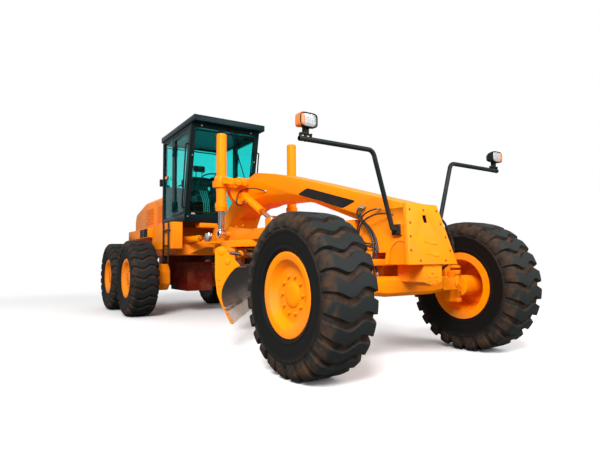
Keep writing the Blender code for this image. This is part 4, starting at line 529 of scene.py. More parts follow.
# Front frame: the arched main beam of folded and welded plate, with the nose plate that carries the
# counterweight on bolts coloured a deep red-orange as painted shade, the saddle for the lift cylinders and
# two blank black bands on its flanks.
NOSE_LOW = (4.194, 0.909)
NOSE_HIGH = (4.065, 1.459)
NOSE_BOLTS = ((-0.174, 1.400), (0.005, 1.400), (0.182, 1.400), (-0.200, 1.278), (0.200, 1.278),
              (-0.228, 1.155), (0.228, 1.155), (-0.256, 1.033), (0.256, 1.033), (-0.165, 0.943),
              (0.165, 0.943))
# Levels of the two dents in the nose plate
NOSE_DENTS = (1.105, 1.000)
SADDLE_CAP = ((0.055, -0.002), (0.055, 0.006), (0.040, 0.010), (0.040, 0.004), (0.024, 0.004), (0.024, 0.012),
              (0.0, 0.012))
SADDLE_LEVEL = 2.07
# A curved plate on each side of the saddle, behind and ahead of it: its outline (reach, level) and the
# stations of its two faces from the saddle's middle
GUSSET = ((0.474, 2.005), (0.474, 1.945), (0.462, 1.900), (0.440, 1.858), (0.405, 1.818), (0.360, 1.786),
          (0.300, 1.762), (0.220, 1.750), (0.200, 1.750), (0.200, 2.005))
GUSSET_DEPTHS = (0.034, 0.056)
# The nose bolts' deep red-orange is painted shade: it stands for the shade round their heads
NOSE_BOLT_SHADE = (0.42, 0.055, 0.008, 1.0)
# The slot in the nose plate gets a black lining as painted shade: its floor's station and its outline
SLOT_FLOOR = 3.987
SLOT_OUTLINE = ((-0.0225, 1.2845), (0.0225, 1.2845), (0.0225, 1.3515), (-0.0225, 1.3515))
BAND_LOW = ((2.279, 1.761), (3.132, 1.505))
BAND_HIGH = ((2.469, 1.815), (3.351, 1.558))
BAND_HEIGHT = 0.155
BAND_ROUNDING = 0.030
BAND_PROUD = 0.0018
# The flank bands' black, also used as painted shade inside the nose slot
BAND_AND_SLOT_SHADE_BLACK = (0.012, 0.012, 0.013, 1.0)


def nose_x(level):
    """The sloping nose plate's station at a level."""
    return NOSE_LOW[0] + (level - NOSE_LOW[1]) * nose_slope

softened("front_frame", frame_paint, rounding=0.008)
nose_slope = (NOSE_HIGH[0] - NOSE_LOW[0]) / (NOSE_HIGH[1] - NOSE_LOW[1])
nose_facing = Vector((1, 0, -nose_slope)).normalized()
build = bmesh.new()
nuts(build, [(nose_x(z), y, z) for y, z in NOSE_BOLTS], nose_facing, 0.009, 0.006)
# Painted shade: the nose bolts are coloured darker than the plate they sit on
nose_bolt_shade_paint = coated("nose_bolts_painted_shade", NOSE_BOLT_SHADE, dustiness=0.2, wear=0.4, gloss=0.6)
piece("nose_bolts", build, nose_bolt_shade_paint, "front")
build = bmesh.new()
# Painted shade: a black lining on the slot's floor and walls darkens it as its shade would
slot_floor = [build.verts.new((SLOT_FLOOR, y, z)) for y, z in SLOT_OUTLINE]
slot_mouth = [build.verts.new((nose_x(z) - 0.003, y, z)) for y, z in SLOT_OUTLINE]
build.faces.new(slot_floor)
skin(build, (slot_floor, slot_mouth))
slot_painted_shade = coated("slot_painted_shade_sheet", BAND_AND_SLOT_SHADE_BLACK, dustiness=0.1, wear=0.0, gloss=0.7)
piece("nose_slot_painted_shade", build, slot_painted_shade, "front")
build = bmesh.new()
for level in NOSE_DENTS:
    for step in range(2):
        share = 0.5 + 0.5 * step
        dent = bmesh.ops.create_uvsphere(build, u_segments=24, v_segments=10, radius=1.0)["verts"]
        place = Matrix.Translation((nose_x(level), 0.03 + 0.02 * step, level - 0.012 * step))
        size = Matrix.Diagonal((0.010 * share, 0.105 - 0.045 * step, 0.017, 1))
        bmesh.ops.transform(build, matrix=place @ Matrix.Rotation(-0.06, 4, "X") @ size, verts=dent)
piece("nose_dents", build, frame_paint, "front")
build = bmesh.new()
saddle_low, saddle_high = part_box("lift_barrel_right")
saddle_x = (saddle_low.x + saddle_high.x) / 2
for hand in (-1, 1):
    lathe(build, SADDLE_CAP, placed((saddle_x + 0.225, hand * 0.43, SADDLE_LEVEL), (1, 0, 0)), 32)
    for level in (-0.028, 0.028):
        nuts(build, [(saddle_x + 0.19, hand * 0.60, SADDLE_LEVEL + level)], (1, 0, 0), 0.010, 0.008)
piece("saddle_caps", build, frame_paint, "front")
build = bmesh.new()
for hand in (-1, 1):
    for ahead in (-1, 1):
        sheets = [[build.verts.new((saddle_x + ahead * depth, hand * y, z)) for y, z in GUSSET]
                  for depth in GUSSET_DEPTHS]
        build.faces.new(sheets[0])
        build.faces.new(sheets[1])
        skin(build, sheets)
piece("saddle_gussets", build, frame_paint, "front")

band_paint = coated("black_band", BAND_AND_SLOT_SHADE_BLACK, dustiness=0.15, wear=0.15, gloss=0.35)
beam = frame["nodes"]["front_frame"].data
flank = BVHTree.FromPolygons([vertex.co for vertex in beam.vertices],
                             [tuple(face.vertices) for face in beam.polygons])
for side_name, hand in SIDES:
    build = bmesh.new()
    rows = []
    for across in range(13):
        rise = across / 12
        start = Vector(BAND_LOW[0]).lerp(Vector(BAND_HIGH[0]), rise)
        end = Vector(BAND_LOW[1]).lerp(Vector(BAND_HIGH[1]), rise)
        length = (end - start).length
        from_edge = min(rise, 1 - rise) * BAND_HEIGHT
        trim = 0.0
        if from_edge < BAND_ROUNDING:
            trim = BAND_ROUNDING - math.sqrt(BAND_ROUNDING ** 2 - (BAND_ROUNDING - from_edge) ** 2)
        row = []
        for step in range(41):
            along = trim / length + (1 - 2 * trim / length) * step / 40
            x, z = start.lerp(end, along)
            spot_on = flank.ray_cast(Vector((x, hand * 1.0, z)), Vector((0, -hand, 0)))[0]
            row.append(build.verts.new((x, spot_on.y + hand * BAND_PROUD, z)))
        rows.append(row)
    skin(build, rows, closed=False)
    piece(f"flank_band_{side_name}", build, band_paint, "front", sharp=80)

# Lamp arms: two bent steel tubes on feet bolted to the nose. Each carries a moulded black work lamp in a
# bracket with two bolted ears. The lamps have a clear ribbed lens forward and an amber lens at their side.
ARM_TUBE_RADIUS = 0.021
LAMP_BLACK = (0.010, 0.016, 0.017, 1.0)
# From the back to the lens: station, then share of the half width and of the half height
LAMP_SHELL = ((-0.055, 0.46, 0.42), (-0.052, 0.56, 0.52), (-0.040, 0.70, 0.66), (-0.015, 0.88, 0.86),
              (0.015, 0.98, 0.98), (0.048, 1.0, 1.0), (0.053, 0.985, 0.98), (0.055, 0.95, 0.94),
              (0.053, 0.90, 0.88), (0.043, 0.88, 0.86))
LAMP_HALVES = (0.083, 0.059)
LAMP_STEPS = 40
LAMP_SQUARENESS = 0.45
LAMP_CENTRE = (1.224, 2.045)
LENS_DOME = ((1.0, -0.006), (0.97, -0.001), (0.7, 0.002), (0.35, 0.004))
AMBER = (0.95, 0.22, 0.015, 1.0)
AMBER_DEEP = (0.60, 0.07, 0.004, 1.0)
AMBER_INNER = 0.032
AMBER_OUTER = 0.0865
AMBER_HALF_HEIGHT = 0.054
ARM_FOOT_LEVEL = 1.22
ARM_TOP_LEVEL = 1.905
AMBER_STATIONS = (-0.030, 0.056)
NECK_LEVELS = (1.944, 1.996)
EAR_LEVELS = (1.915, 1.952)
BRIDGE_LEVELS = (1.939, 1.947)
EAR_BOLT_LEVEL = 1.938
EAR_REACH = 0.049
EAR_HALF = 0.004


def tube(build, places, radius, steps=14):
    """A round tube along a line of places, its rings square to the line."""
    rings = []
    points = [Vector(place) for place in places]
    side = None
    for index, point in enumerate(points):
        ahead = (points[min(index + 1, len(points) - 1)] - points[max(index - 1, 0)]).normalized()
        if side is None:
            side = ahead.orthogonal().normalized()
        side = (side - ahead * side.dot(ahead)).normalized()
        over = ahead.cross(side)
        rings.append([build.verts.new(point + across.x * side + across.y * over)
                      for across in around(steps, radius)])
    skin(build, rings)
    build.faces.new(rings[0])
    build.faces.new(rings[-1])


def bent(places, radius, steps=7):
    """A line of places with its inner corners rounded to a bending radius."""
    points = [Vector(place) for place in places]
    line = [points[0]]
    for before, corner, after in zip(points, points[1:], points[2:]):
        back, onward = (before - corner), (after - corner)
        reach = min(radius, back.length * 0.49, onward.length * 0.49)
        start, end = corner + back.normalized() * reach, corner + onward.normalized() * reach
        for step in range(steps + 1):
            share = step / steps
            line.append(start.lerp(corner, share).lerp(corner.lerp(end, share), share))
    line.append(points[-1])
    return line


def slab(build, low, high, rounding=0.004, segments=2, place=None):
    """A block between two corners with its edges rounded."""
    low, high = Vector(low), Vector(high)
    verts = bmesh.ops.create_cube(build, size=1.0)["verts"]
    middle = (low + high) / 2
    size = high - low
    bmesh.ops.transform(build, matrix=Matrix.Translation(middle) @ Matrix.Diagonal((*size, 1)), verts=verts)
    edges = list({edge for vertex in verts for edge in vertex.link_edges})
    result = bmesh.ops.bevel(build, geom=edges, offset=min(rounding, min(size) * 0.45), segments=segments,
                             affect="EDGES", profile=0.5)
    if place is not None:
        corners = {vertex for face in result["faces"] for vertex in face.verts}
        corners.update(vertex for vertex in verts if vertex.is_valid)
        bmesh.ops.transform(build, matrix=place, verts=list(corners))


def celled_lens(name, bright, deep, scale, roughness, coat=0.0):
    """A lens of coloured plastic, moulded with small cells."""
    made, tree, shader = new_material(name)
    cells = node(tree, "TexVoronoi", {"Vector": node(tree, "TexCoord").outputs["Object"], "Scale": scale})
    feed(tree, shader, {"Base Color": blend(tree, cells.outputs["Distance"], bright, deep),
                        "Roughness": roughness,
                        "Coat Weight": coat})
    return made


lamp_black = coated("black_lamp_shell", LAMP_BLACK, dustiness=0.2, wear=0.1, gloss=0.35)
arm_paint = coated("black_paint_arms", LAMP_BLACK, dustiness=0.35, wear=0.5, gloss=0.36)
lens, tree, shader = new_material("ribbed_lens")
ribs = node(tree, "TexWave", {"Vector": node(tree, "TexCoord").outputs["Object"], "Scale": 36.0},
            bands_direction="Y")
feed(tree, shader, {"Base Color": stretch(tree, ribs.outputs["Fac"], 0.0, 1.0, 0.12, 0.62),
                    "Roughness": 0.08,
                    "Coat Weight": 0.6,
                    "Normal": bump(tree, ribs.outputs["Fac"], 0.8, 0.003)})
amber = celled_lens("amber_lens", AMBER, AMBER_DEEP, 140.0, 0.12, 0.5)
arm_x = front_axle_x + 0.22
for side_name, hand in SIDES:
    build = bmesh.new()
    line = bent([(arm_x, hand * 0.262, ARM_FOOT_LEVEL), (arm_x, hand * 0.300, ARM_FOOT_LEVEL),
                 (arm_x, hand * 0.518, ARM_TOP_LEVEL), (arm_x, hand * 1.286, ARM_TOP_LEVEL)], 0.055)
    tube(build, line, ARM_TUBE_RADIUS, 20)
    slab(build, (arm_x - 0.048, hand * 0.256 - 0.010, ARM_FOOT_LEVEL - 0.048),
         (arm_x + 0.048, hand * 0.256 + 0.010, ARM_FOOT_LEVEL + 0.048), 0.004)
    nuts(build, [(arm_x + along, hand * 0.266, ARM_FOOT_LEVEL + rise)
                 for along in (-0.034, 0.034) for rise in (-0.034, 0.034)], (0, hand, 0), 0.008, 0.007)
    lathe(build, ((0.0225, -0.012), (0.0225, 0.010), (0.016, 0.014), (0.0, 0.014)),
          placed((arm_x, hand * 1.272, ARM_TOP_LEVEL), (0, hand, 0)), 20)
    piece(f"lamp_arm_tube_{side_name}", build, arm_paint, "front", (f"lamp_arm_{side_name}",))
    build = bmesh.new()
    y_lamp, z_lamp = hand * LAMP_CENTRE[0], LAMP_CENTRE[1]
    rings = []
    for station, width, rise in LAMP_SHELL:
        ring = []
        for point in around(LAMP_STEPS, 1.0):
            across = math.copysign(abs(point.x) ** LAMP_SQUARENESS, point.x) * LAMP_HALVES[0] * width
            up = math.copysign(abs(point.y) ** LAMP_SQUARENESS, point.y) * LAMP_HALVES[1] * rise
            ring.append(build.verts.new((arm_x + station, y_lamp + across, z_lamp + up)))
        rings.append(ring)
    skin(build, rings)
    build.faces.new(rings[0])
    inner_ring = [vertex.co.copy() for vertex in rings[-1]]
    piece(f"lamp_shell_{side_name}", build, lamp_black, "front", sharp=50)
    build = bmesh.new()
    domes = []
    for share, bulge in LENS_DOME:
        domes.append([build.verts.new((arm_x + 0.050 + bulge, y_lamp + (place.y - y_lamp) * share,
                                       z_lamp + (place.z - z_lamp) * share)) for place in inner_ring])
    skin(build, domes)
    build.faces.new(domes[-1])
    piece(f"lamp_lens_{side_name}", build, lens, "front", sharp=60)
    build = bmesh.new()
    near_y, far_y = sorted((y_lamp + hand * AMBER_INNER, y_lamp + hand * AMBER_OUTER))
    slab(build, (arm_x + AMBER_STATIONS[0], near_y, z_lamp - AMBER_HALF_HEIGHT),
         (arm_x + AMBER_STATIONS[1], far_y, z_lamp + AMBER_HALF_HEIGHT), 0.020, 3)
    piece(f"lamp_amber_{side_name}", build, amber, "front", sharp=50)
    # The bracket: a neck under the lamp, an ear at each side, their bridge and a stub that stands in the arm
    build = bmesh.new()
    slab(build, (arm_x - 0.018, y_lamp - 0.024, NECK_LEVELS[0]),
         (arm_x + 0.018, y_lamp + 0.024, NECK_LEVELS[1]), 0.005)
    for ear in (-1, 1):
        ear_y = y_lamp + ear * EAR_REACH
        slab(build, (arm_x - 0.016, ear_y - EAR_HALF, EAR_LEVELS[0]),
             (arm_x + 0.016, ear_y + EAR_HALF, EAR_LEVELS[1]), 0.002)
        nuts(build, [(arm_x, ear_y + ear * EAR_HALF, EAR_BOLT_LEVEL)], (0, ear, 0), 0.008, 0.006)
    slab(build, (arm_x - 0.018, y_lamp - 0.055, BRIDGE_LEVELS[0]),
         (arm_x + 0.018, y_lamp + 0.055, BRIDGE_LEVELS[1]), 0.002)
    lathe(build, ((0.014, -0.02), (0.014, 0.038), (0.0, 0.038)), placed((arm_x, y_lamp, ARM_TOP_LEVEL)), 16)
    piece(f"lamp_bracket_{side_name}", build, arm_paint, "front")

# Draft frame and circle: a tapered frame on a ball joint, and below it the toothed ring that turns the
# blade, with its two arms and the tilting carrier. Welded plate, the ring flame-cut and its teeth greasy.
CIRCLE_TEETH = 66
TOOTH_DEPTH = 0.030
CIRCLE_INNER = 0.502
CIRCLE_BEHIND_AXLE = 2.65
BACKING_REACH = CIRCLE_INNER + 0.004
CIRCLE_LEVELS = (1.156, 1.234)
GREASED_STEEL = (0.055, 0.050, 0.046, 1.0)

draft_paint = coated("orange_paint_draft", ORANGE, dustiness=0.65, wear=0.6, gloss=0.42)
for node_name in ("draft_frame", "circle", "blade_carrier"):
    softened(node_name, draft_paint)
greased = coated("greased_steel", GREASED_STEEL, dustiness=0.5, wear=0.7, gloss=0.35, metallic=0.7,
                 specular=0.4)
build = bmesh.new()
circle_x = front_axle_x - CIRCLE_BEHIND_AXLE
outline = []
for tooth in range(CIRCLE_TEETH):
    for station, depth in ((0.0, 0.0), (0.18, 0.0), (0.32, 1.0), (0.50, 1.0), (0.68, 1.0), (0.82, 0.0)):
        turn = (tooth + station) * math.tau / CIRCLE_TEETH
        outline.append((Vector((math.cos(turn), math.sin(turn), 0)), CIRCLE_INNER - TOOTH_DEPTH * depth))
middles = [Vector((circle_x, 0, level)) for level in CIRCLE_LEVELS]
inner = [[build.verts.new(middle + facing * reach) for facing, reach in outline] for middle in middles]
outer = [[build.verts.new(middle + facing * BACKING_REACH) for facing, reach in outline]
         for middle in middles]
skin(build, (outer[0], inner[0], inner[1], outer[1]))
piece("circle_teeth", build, greased, "turning_circle", sharp=25)
build = bmesh.new()
for hand in (-1, 1):
    for along in (-0.26, -0.06, 0.14):
        nuts(build, [(circle_x + along, hand * 0.415, 1.44)], (0, 0, 1), 0.014, 0.014)
    lathe(build, ((0.075, 0.0), (0.075, 0.018), (0.06, 0.026), (0.0, 0.026)),
          placed((circle_x - 0.20, hand * 0.28, 1.38)), 28)
    nuts(build, [(circle_x - 0.20, hand * 0.28, 1.406)], (0, 0, 1), 0.022, 0.018)
piece("draft_frame_bolts", build, draft_paint, "draft")

# Blade: a rolled high-carbon mouldboard, bolted cutting edges of harder steel along its foot and a thick
# painted plate welded on each end. Work has scoured its face, and brown earth stays above the edge.
BLADE_TURN = math.radians(55.5)
BLADE_HEIGHT = 0.6
BLADE_GROUND_GAP = 0.31
BLADE_EDGE_BACK = 0.152
BLADE_HALF = 1.83
BLADE_THICKNESS = 0.022
FACE_SHARES = ((0, 0), (-0.155, 0.27), (-0.192, 0.38), (-0.207, 0.48), (-0.197, 0.59), (-0.160, 0.69),
               (-0.105, 0.79), (-0.040, 0.88), (0.030, 0.95), (0.115, 0.995))
# From the face's top behind the blade and down: the outline of an end plate, in shares of the height
END_BACK_SHARES = ((-0.32, 1.063), (-0.32, 0.825), (-0.285, 0.523), (-0.237, 0.38), (-0.05, 0))
SHIFT_BACK = 0.28
SHIFT_AXIS_HEIGHT = 1.055
LUG_RADIUS = 0.065
EDGE_STEEL = (0.66, 0.56, 0.46, 1.0)
EDGE_RUST = (0.30, 0.14, 0.07, 1.0)
FACE_DARK = (0.018, 0.021, 0.020, 1.0)
FACE_LIGHT = (0.050, 0.047, 0.040, 1.0)
EARTH_BROWN = (0.20, 0.085, 0.028, 1.0)
EDGE_THICKNESS = 0.019
EDGE_BOLT_PITCH = 0.152
END_PLATE = 0.020
# Four bolts in each end plate: their distance ahead of the blade's back, and level
END_BOLTS = ((-0.152, 0.766), (-0.148, 0.700), (-0.085, 0.470), (-0.062, 0.420))


def eased(before, here, onward, after, share):
    """The place at a share of the way from one point to the next, on a smooth curve past both neighbours."""
    return 0.5 * ((2 * here) + (onward - before) * share
                  + (2 * before - 5 * here + 4 * onward - after) * share ** 2
                  + (3 * here - before - 3 * onward + after) * share ** 3)


swing = Matrix.Translation((circle_x, 0, 0)) @ Matrix.Rotation(BLADE_TURN, 4, "Z")
face_line = [Vector((-BLADE_EDGE_BACK + forward * BLADE_HEIGHT, BLADE_GROUND_GAP + up * BLADE_HEIGHT))
             for forward, up in FACE_SHARES]
smooth_face = []
for index in range(len(face_line) - 1):
    before = face_line[max(index - 1, 0)]
    here, onward = face_line[index], face_line[index + 1]
    after = face_line[min(index + 2, len(face_line) - 1)]
    steps = 8 if index == 0 else 3
    for step in range(steps):
        share = step / steps
        smooth_face.append(eased(before, here, onward, after, share) if index else here.lerp(onward, share))
smooth_face.append(face_line[-1])

scoured, tree, shader = new_material("scoured_blade_steel")
spot = node(tree, "TexCoord").outputs["Object"]
streaks = node(tree, "Mapping", {"Vector": spot, "Rotation": (0, 0, -BLADE_TURN), "Scale": (9.0, 0.8, 34.0)})
grain = noise(tree, streaks.outputs[0], 1.0, 8.0, 0.65)
low_down = stretch(tree, node(tree, "SeparateXYZ", {0: spot}).outputs["Z"], 0.66, 0.50)
brown = times(tree, low_down, stretch(tree, noise(tree, spot, 3.2, 5.0), 0.3, 0.6))
steel_shade = blend(tree, stretch(tree, grain, 0.35, 0.72), FACE_DARK, FACE_LIGHT)
feed(tree, shader, {"Base Color": blend(tree, brown, steel_shade, EARTH_BROWN),
                    "Roughness": stretch(tree, grain, 0.0, 1.0, 0.32, 0.62),
                    "Specular IOR Level": 0.15,
                    "Normal": bump(tree, grain, 0.25, 0.0015)})
edge_steel, tree, shader = new_material("pale_cutting_edge")
rust_spots = noise(tree, node(tree, "TexCoord").outputs["Object"], 11.0, 9.0, 0.7)
feed(tree, shader, {"Base Color": blend(tree, stretch(tree, rust_spots, 0.52, 0.74), EDGE_STEEL, EDGE_RUST),
                    "Roughness": stretch(tree, rust_spots, 0.0, 1.0, 0.42, 0.7),
                    "Normal": bump(tree, rust_spots, 0.2, 0.001)})


def blade_strip(build, line, thickness, reach, columns):
    """A rolled strip along the blade: its face line, its thickness behind and its reach to both hands."""
    back = []
    for index, point in enumerate(line):
        along = (line[min(index + 1, len(line) - 1)] - line[max(index - 1, 0)]).normalized()
        back.append(point + Vector((-along.y, along.x)) * thickness)
    section = line + back[::-1]
    rings = []
    for column in range(columns + 1):
        y = reach[0] + (reach[1] - reach[0]) * column / columns
        rings.append([build.verts.new(swing @ Vector((point.x, y, point.y))) for point in section])
    skin(build, rings)
    build.faces.new(rings[0])
    build.faces.new(rings[-1])


build = bmesh.new()
blade_strip(build, smooth_face[6:], BLADE_THICKNESS - 0.004, (-BLADE_HALF + 0.019, BLADE_HALF - 0.019), 12)
piece("mouldboard", build, scoured, "shifting_blade", ("blade",), sharp=40)
build = bmesh.new()
edge_line = [face_line[0].lerp(face_line[1], share) for share in (0.0, 0.5, 0.985)]
edge_run = edge_line[-1] - edge_line[0]
edge_normal = Vector((-edge_run.y, edge_run.x)).normalized()
for low, high in ((-BLADE_HALF + END_PLATE, -0.002), (0.002, BLADE_HALF - END_PLATE)):
    blade_strip(build, edge_line, EDGE_THICKNESS, (low, high), 2)
count = int(2 * BLADE_HALF / EDGE_BOLT_PITCH)
for step in range(count):
    y = -BLADE_HALF + 0.10 + step * EDGE_BOLT_PITCH
    spot_on = edge_line[0].lerp(edge_line[-1], 0.74) + edge_normal * EDGE_THICKNESS
    lathe(build, ((0.011, 0.0), (0.011, 0.010), (0.0, 0.010)),
          swing @ placed((spot_on.x, y, spot_on.y), (edge_normal.x, 0, edge_normal.y)), 6)
piece("cutting_edges", build, edge_steel, "shifting_blade", sharp=30)

end_paint = coated("orange_paint_blade_ends", ORANGE, dustiness=0.35, wear=0.9, gloss=0.40)
shift_x, shift_z = -SHIFT_BACK, SHIFT_AXIS_HEIGHT
rear_line = [Vector((-BLADE_EDGE_BACK + forward * BLADE_HEIGHT, BLADE_GROUND_GAP + up * BLADE_HEIGHT))
             for forward, up in END_BACK_SHARES]
lug_line = [Vector((shift_x + LUG_RADIUS * math.cos(turn), shift_z + LUG_RADIUS * 0.85 * math.sin(turn)))
            for turn in [math.radians(step * 15) for step in range(13)]]
for side_name, reach, lug in (("right", (-BLADE_HALF + 0.0002, -BLADE_HALF + END_PLATE), lug_line),
                              ("left", (BLADE_HALF - END_PLATE, BLADE_HALF - 0.0002), [])):
    outline = smooth_face + lug + rear_line[(0 if lug else 1):]
    build = bmesh.new()
    flat_face = build.faces.new([build.verts.new(swing @ Vector((point.x, reach[0], point.y)))
                                 for point in outline])
    grown = bmesh.ops.extrude_face_region(build, geom=[flat_face])["geom"]
    bmesh.ops.translate(build, vec=swing.to_3x3() @ Vector((0, reach[1] - reach[0], 0)),
                        verts=[item for item in grown if isinstance(item, bmesh.types.BMVert)])
    bmesh.ops.triangulate(build, faces=[face for face in build.faces if len(face.verts) > 4])
    outer_y, hand = (reach[0], -1) if side_name == "right" else (reach[1], 1)
    facing_out = swing.to_3x3() @ Vector((0, hand, 0))
    if lug:
        place = swing @ placed((shift_x, outer_y, shift_z), (0, hand, 0))
        lathe(build, ((0.036, -0.001), (0.036, 0.004), (0.026, 0.007), (0.0, 0.007)), place, 28)
        place = swing @ placed((-BLADE_EDGE_BACK - 0.062, outer_y, 0.949), (0, hand, 0))
        lathe(build, ((0.028, -0.001), (0.028, 0.006), (0.020, 0.009), (0.0, 0.009)), place, 24)
    nuts(build, [swing @ Vector((-BLADE_EDGE_BACK + ahead, outer_y, z)) for ahead, z in END_BOLTS],
         facing_out, 0.010, 0.008)
    piece(f"blade_end_{side_name}", build, end_paint, "shifting_blade", sharp=30)
build = bmesh.new()
slab(build, (-BLADE_EDGE_BACK + 0.012, -BLADE_HALF + 0.030, 0.888),
     (-BLADE_EDGE_BACK + 0.052, -BLADE_HALF + 0.62, 0.910), 0.003, place=swing)
piece("blade_top_bar", build, end_paint, "shifting_blade")

# Cylinders: honed steel barrels painted with the frame, each with a screwed gland and a wiper where its
# chromed rod comes out, and forged eyes at their ends.
CHROME = (0.62, 0.62, 0.63, 1.0)
OILED_CHROME = (0.36, 0.31, 0.26, 1.0)
LIFT_REACH = 0.589
LIFT_PORTS = (2.66, 1.83)
LIFT_EYE_LEVEL = 1.345
LIFT_PROFILE = ((0.0, 2.770), (0.052, 2.770), (0.064, 2.766), (0.071, 2.757), (0.072, 2.748), (0.072, 2.16),
                (0.079, 2.150), (0.079, 2.146), (0.098, 2.145), (0.100, 2.138), (0.100, 2.002),
                (0.098, 1.995), (0.079, 1.994), (0.079, 1.985), (0.072, 1.980), (0.072, 1.790),
                (0.076, 1.786), (0.088, 1.778), (0.088, 1.708), (0.082, 1.702), (0.082, 1.672),
                (0.078, 1.662), (0.060, 1.661), (0.050, 1.664), (0.0458, 1.668))
# The side shift cylinder's barrel, from the gland's mouth to its blind end, and the station of its port
SHIFT_PROFILE = ((0.0262, -0.500), (0.034, -0.501), (0.041, -0.494), (0.045, -0.488), (0.045, -0.430),
                 (0.0415, -0.424), (0.0415, 0.590), (0.0435, 0.596), (0.0435, 0.640), (0.039, 0.645),
                 (0.0, 0.645))
SHIFT_PORT = -0.455
SHIFT_PORT_RADIUS = 0.018
SHIFT_PORT_LENGTH = 0.050

chrome, tree, shader = new_material("chromed_rod")
oil = noise(tree, node(tree, "TexCoord").outputs["Object"], 18.0, 6.0)
feed(tree, shader, {"Base Color": blend(tree, stretch(tree, oil, 0.45, 0.8), CHROME, OILED_CHROME),
                    "Roughness": stretch(tree, oil, 0.0, 1.0, 0.10, 0.28),
                    "Metallic": 1.0})
barrel_paint = coated("orange_paint_barrels", ORANGE, dustiness=0.3, wear=0.4, gloss=0.34)
for side_name, hand in SIDES:
    y = hand * LIFT_REACH
    build = bmesh.new()
    lathe(build, LIFT_PROFILE, placed((saddle_x, y, 0)), 48)
    for ahead in (-1, 1):
        lathe(build, ((0.040, 0.070), (0.040, 0.149), (0.0, 0.149)),
              placed((saddle_x, y, SADDLE_LEVEL), (ahead, 0, 0)), 24)
    for port in LIFT_PORTS:
        lathe(build, ((0.022, 0.060), (0.022, 0.088), (0.015, 0.090), (0.015, 0.104), (0.0, 0.104)),
              placed((saddle_x, y, port), (-1, 0, 0)), 12)
    piece(f"lift_barrel_shell_{side_name}", build, barrel_paint, "front",
          (f"lift_barrel_{side_name}",), sharp=30)
    build = bmesh.new()
    lathe(build, ((0.0, 1.375), (0.038, 1.380), (0.045, 1.40), (0.045, 2.50), (0.0, 2.51)),
          placed((saddle_x, y, 0)), 40)
    lathe(build, ((0.036, -0.046), (0.062, -0.045), (0.065, -0.040), (0.065, 0.040), (0.062, 0.045),
                  (0.036, 0.046)),
          placed((saddle_x, y, LIFT_EYE_LEVEL), (0, 1, 0)), 36, closed=True)
    piece(f"lift_rod_chrome_{side_name}", build, chrome, f"lift_ram_{side_name}",
          (f"lift_rod_{side_name}",), sharp=30)
for barrel_node, rod_node in (("centre_shift_barrel", "centre_shift_rod"),
                              ("articulation_barrel_right", "articulation_rod_right"),
                              ("articulation_barrel_left", "articulation_rod_left")):
    softened(barrel_node, barrel_paint, rounding=0.003, limit=50)
    softened(rod_node, chrome, rounding=0.003, limit=50)
build = bmesh.new()
rod_place = swing @ placed((shift_x, 0, shift_z), (0, 1, 0))
lathe(build, ((0.0, -1.808), (0.022, -1.808), (0.025, -1.804), (0.025, 0.160), (0.022, 0.165), (0.0, 0.165)),
      rod_place, 36)
piece("side_shift_chrome", build, chrome, "shifting_blade", ("side_shift_rod",), sharp=30)
build = bmesh.new()
lathe(build, SHIFT_PROFILE, rod_place, 36)
lathe(build, ((SHIFT_PORT_RADIUS, 0.0), (SHIFT_PORT_RADIUS, SHIFT_PORT_LENGTH), (0.0, SHIFT_PORT_LENGTH)),
      rod_place @ placed((0, 0, SHIFT_PORT), (-1, 0, 0)), 12)
piece("side_shift_gland", build, barrel_paint, "tilting_carrier", sharp=30)

# Rear frame, tandem drive and transmission: welded box rails, the drive axle with its gearbox in dark red
# primer, and the two chain cases that carry the rear wheels, closed by bolted covers.
RED_PRIMER = (0.135, 0.010, 0.004, 1.0)
GEARBOX_LEVEL = 0.72
GEARBOX_BOLT_CIRCLE = 0.085
# The chain cases' middle and outer face, and their wheels' stations and level
TANDEM_REACH = 0.69
TANDEM_FACE = 0.83
TANDEM_SPACING = 0.77
TANDEM_LEVEL = 0.68
COVER_HALVES = (0.15, 0.09)

rear_paint = coated("orange_paint_rear", ORANGE, dustiness=0.55, wear=0.5, gloss=0.42)
softened("rear_frame", rear_paint)
for side_name in ("right", "left"):
    softened(f"tandem_case_{side_name}", rear_paint, rounding=0.03)
red_primer = coated("red_primer_axle", RED_PRIMER, dustiness=0.6, wear=0.5, gloss=0.45)
softened("drive_axle", red_primer, rounding=0.010)
build = bmesh.new()
axle_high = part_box("drive_axle")[1]
for hand in (-1, 1):
    for level in (0.50, 0.60, 0.70, 0.80, 0.90):
        nuts(build, [(axle_high.x - 0.06, hand * 0.24, level)], (0, hand, 0), 0.012, 0.010)
lathe(build, ((0.11, 0.0), (0.11, 0.03), (0.095, 0.036), (0.06, 0.036), (0.06, 0.060), (0.045, 0.064),
              (0.0, 0.064)),
      placed((axle_high.x - 0.02, 0, GEARBOX_LEVEL), (1, 0, 0)), 36)
nuts(build, [(axle_high.x + 0.010, point.x, GEARBOX_LEVEL + point.y)
             for point in around(8, GEARBOX_BOLT_CIRCLE)],
     (1, 0, 0), 0.009, 0.008)
piece("gearbox_flange", build, red_primer, "chassis")
for side_name, hand in SIDES:
    build = bmesh.new()
    case_low, case_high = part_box(f"tandem_case_{side_name}")
    middle = (case_low.x + case_high.x) / 2
    for ahead in (-0.38, 0.38):
        cover = Vector((middle + ahead, hand * TANDEM_REACH, case_high.z))
        slab(build, cover - Vector((*COVER_HALVES, 0.004)), cover + Vector((*COVER_HALVES, 0.008)), 0.004)
        nuts(build, [cover + Vector((along * 0.13, across * 0.07, 0.008)) for along in (-1, 0, 1)
                     for across in (-1, 1)], (0, 0, 1), 0.009, 0.008)
    for ahead in (-1, 1):
        lathe(build, ((0.15, -0.003), (0.15, 0.012), (0.14, 0.016), (0.0, 0.016)),
              placed((middle + ahead * TANDEM_SPACING, hand * TANDEM_FACE, TANDEM_LEVEL), (0, hand, 0)), 40)
    piece(f"tandem_covers_{side_name}", build, rear_paint, "chassis")

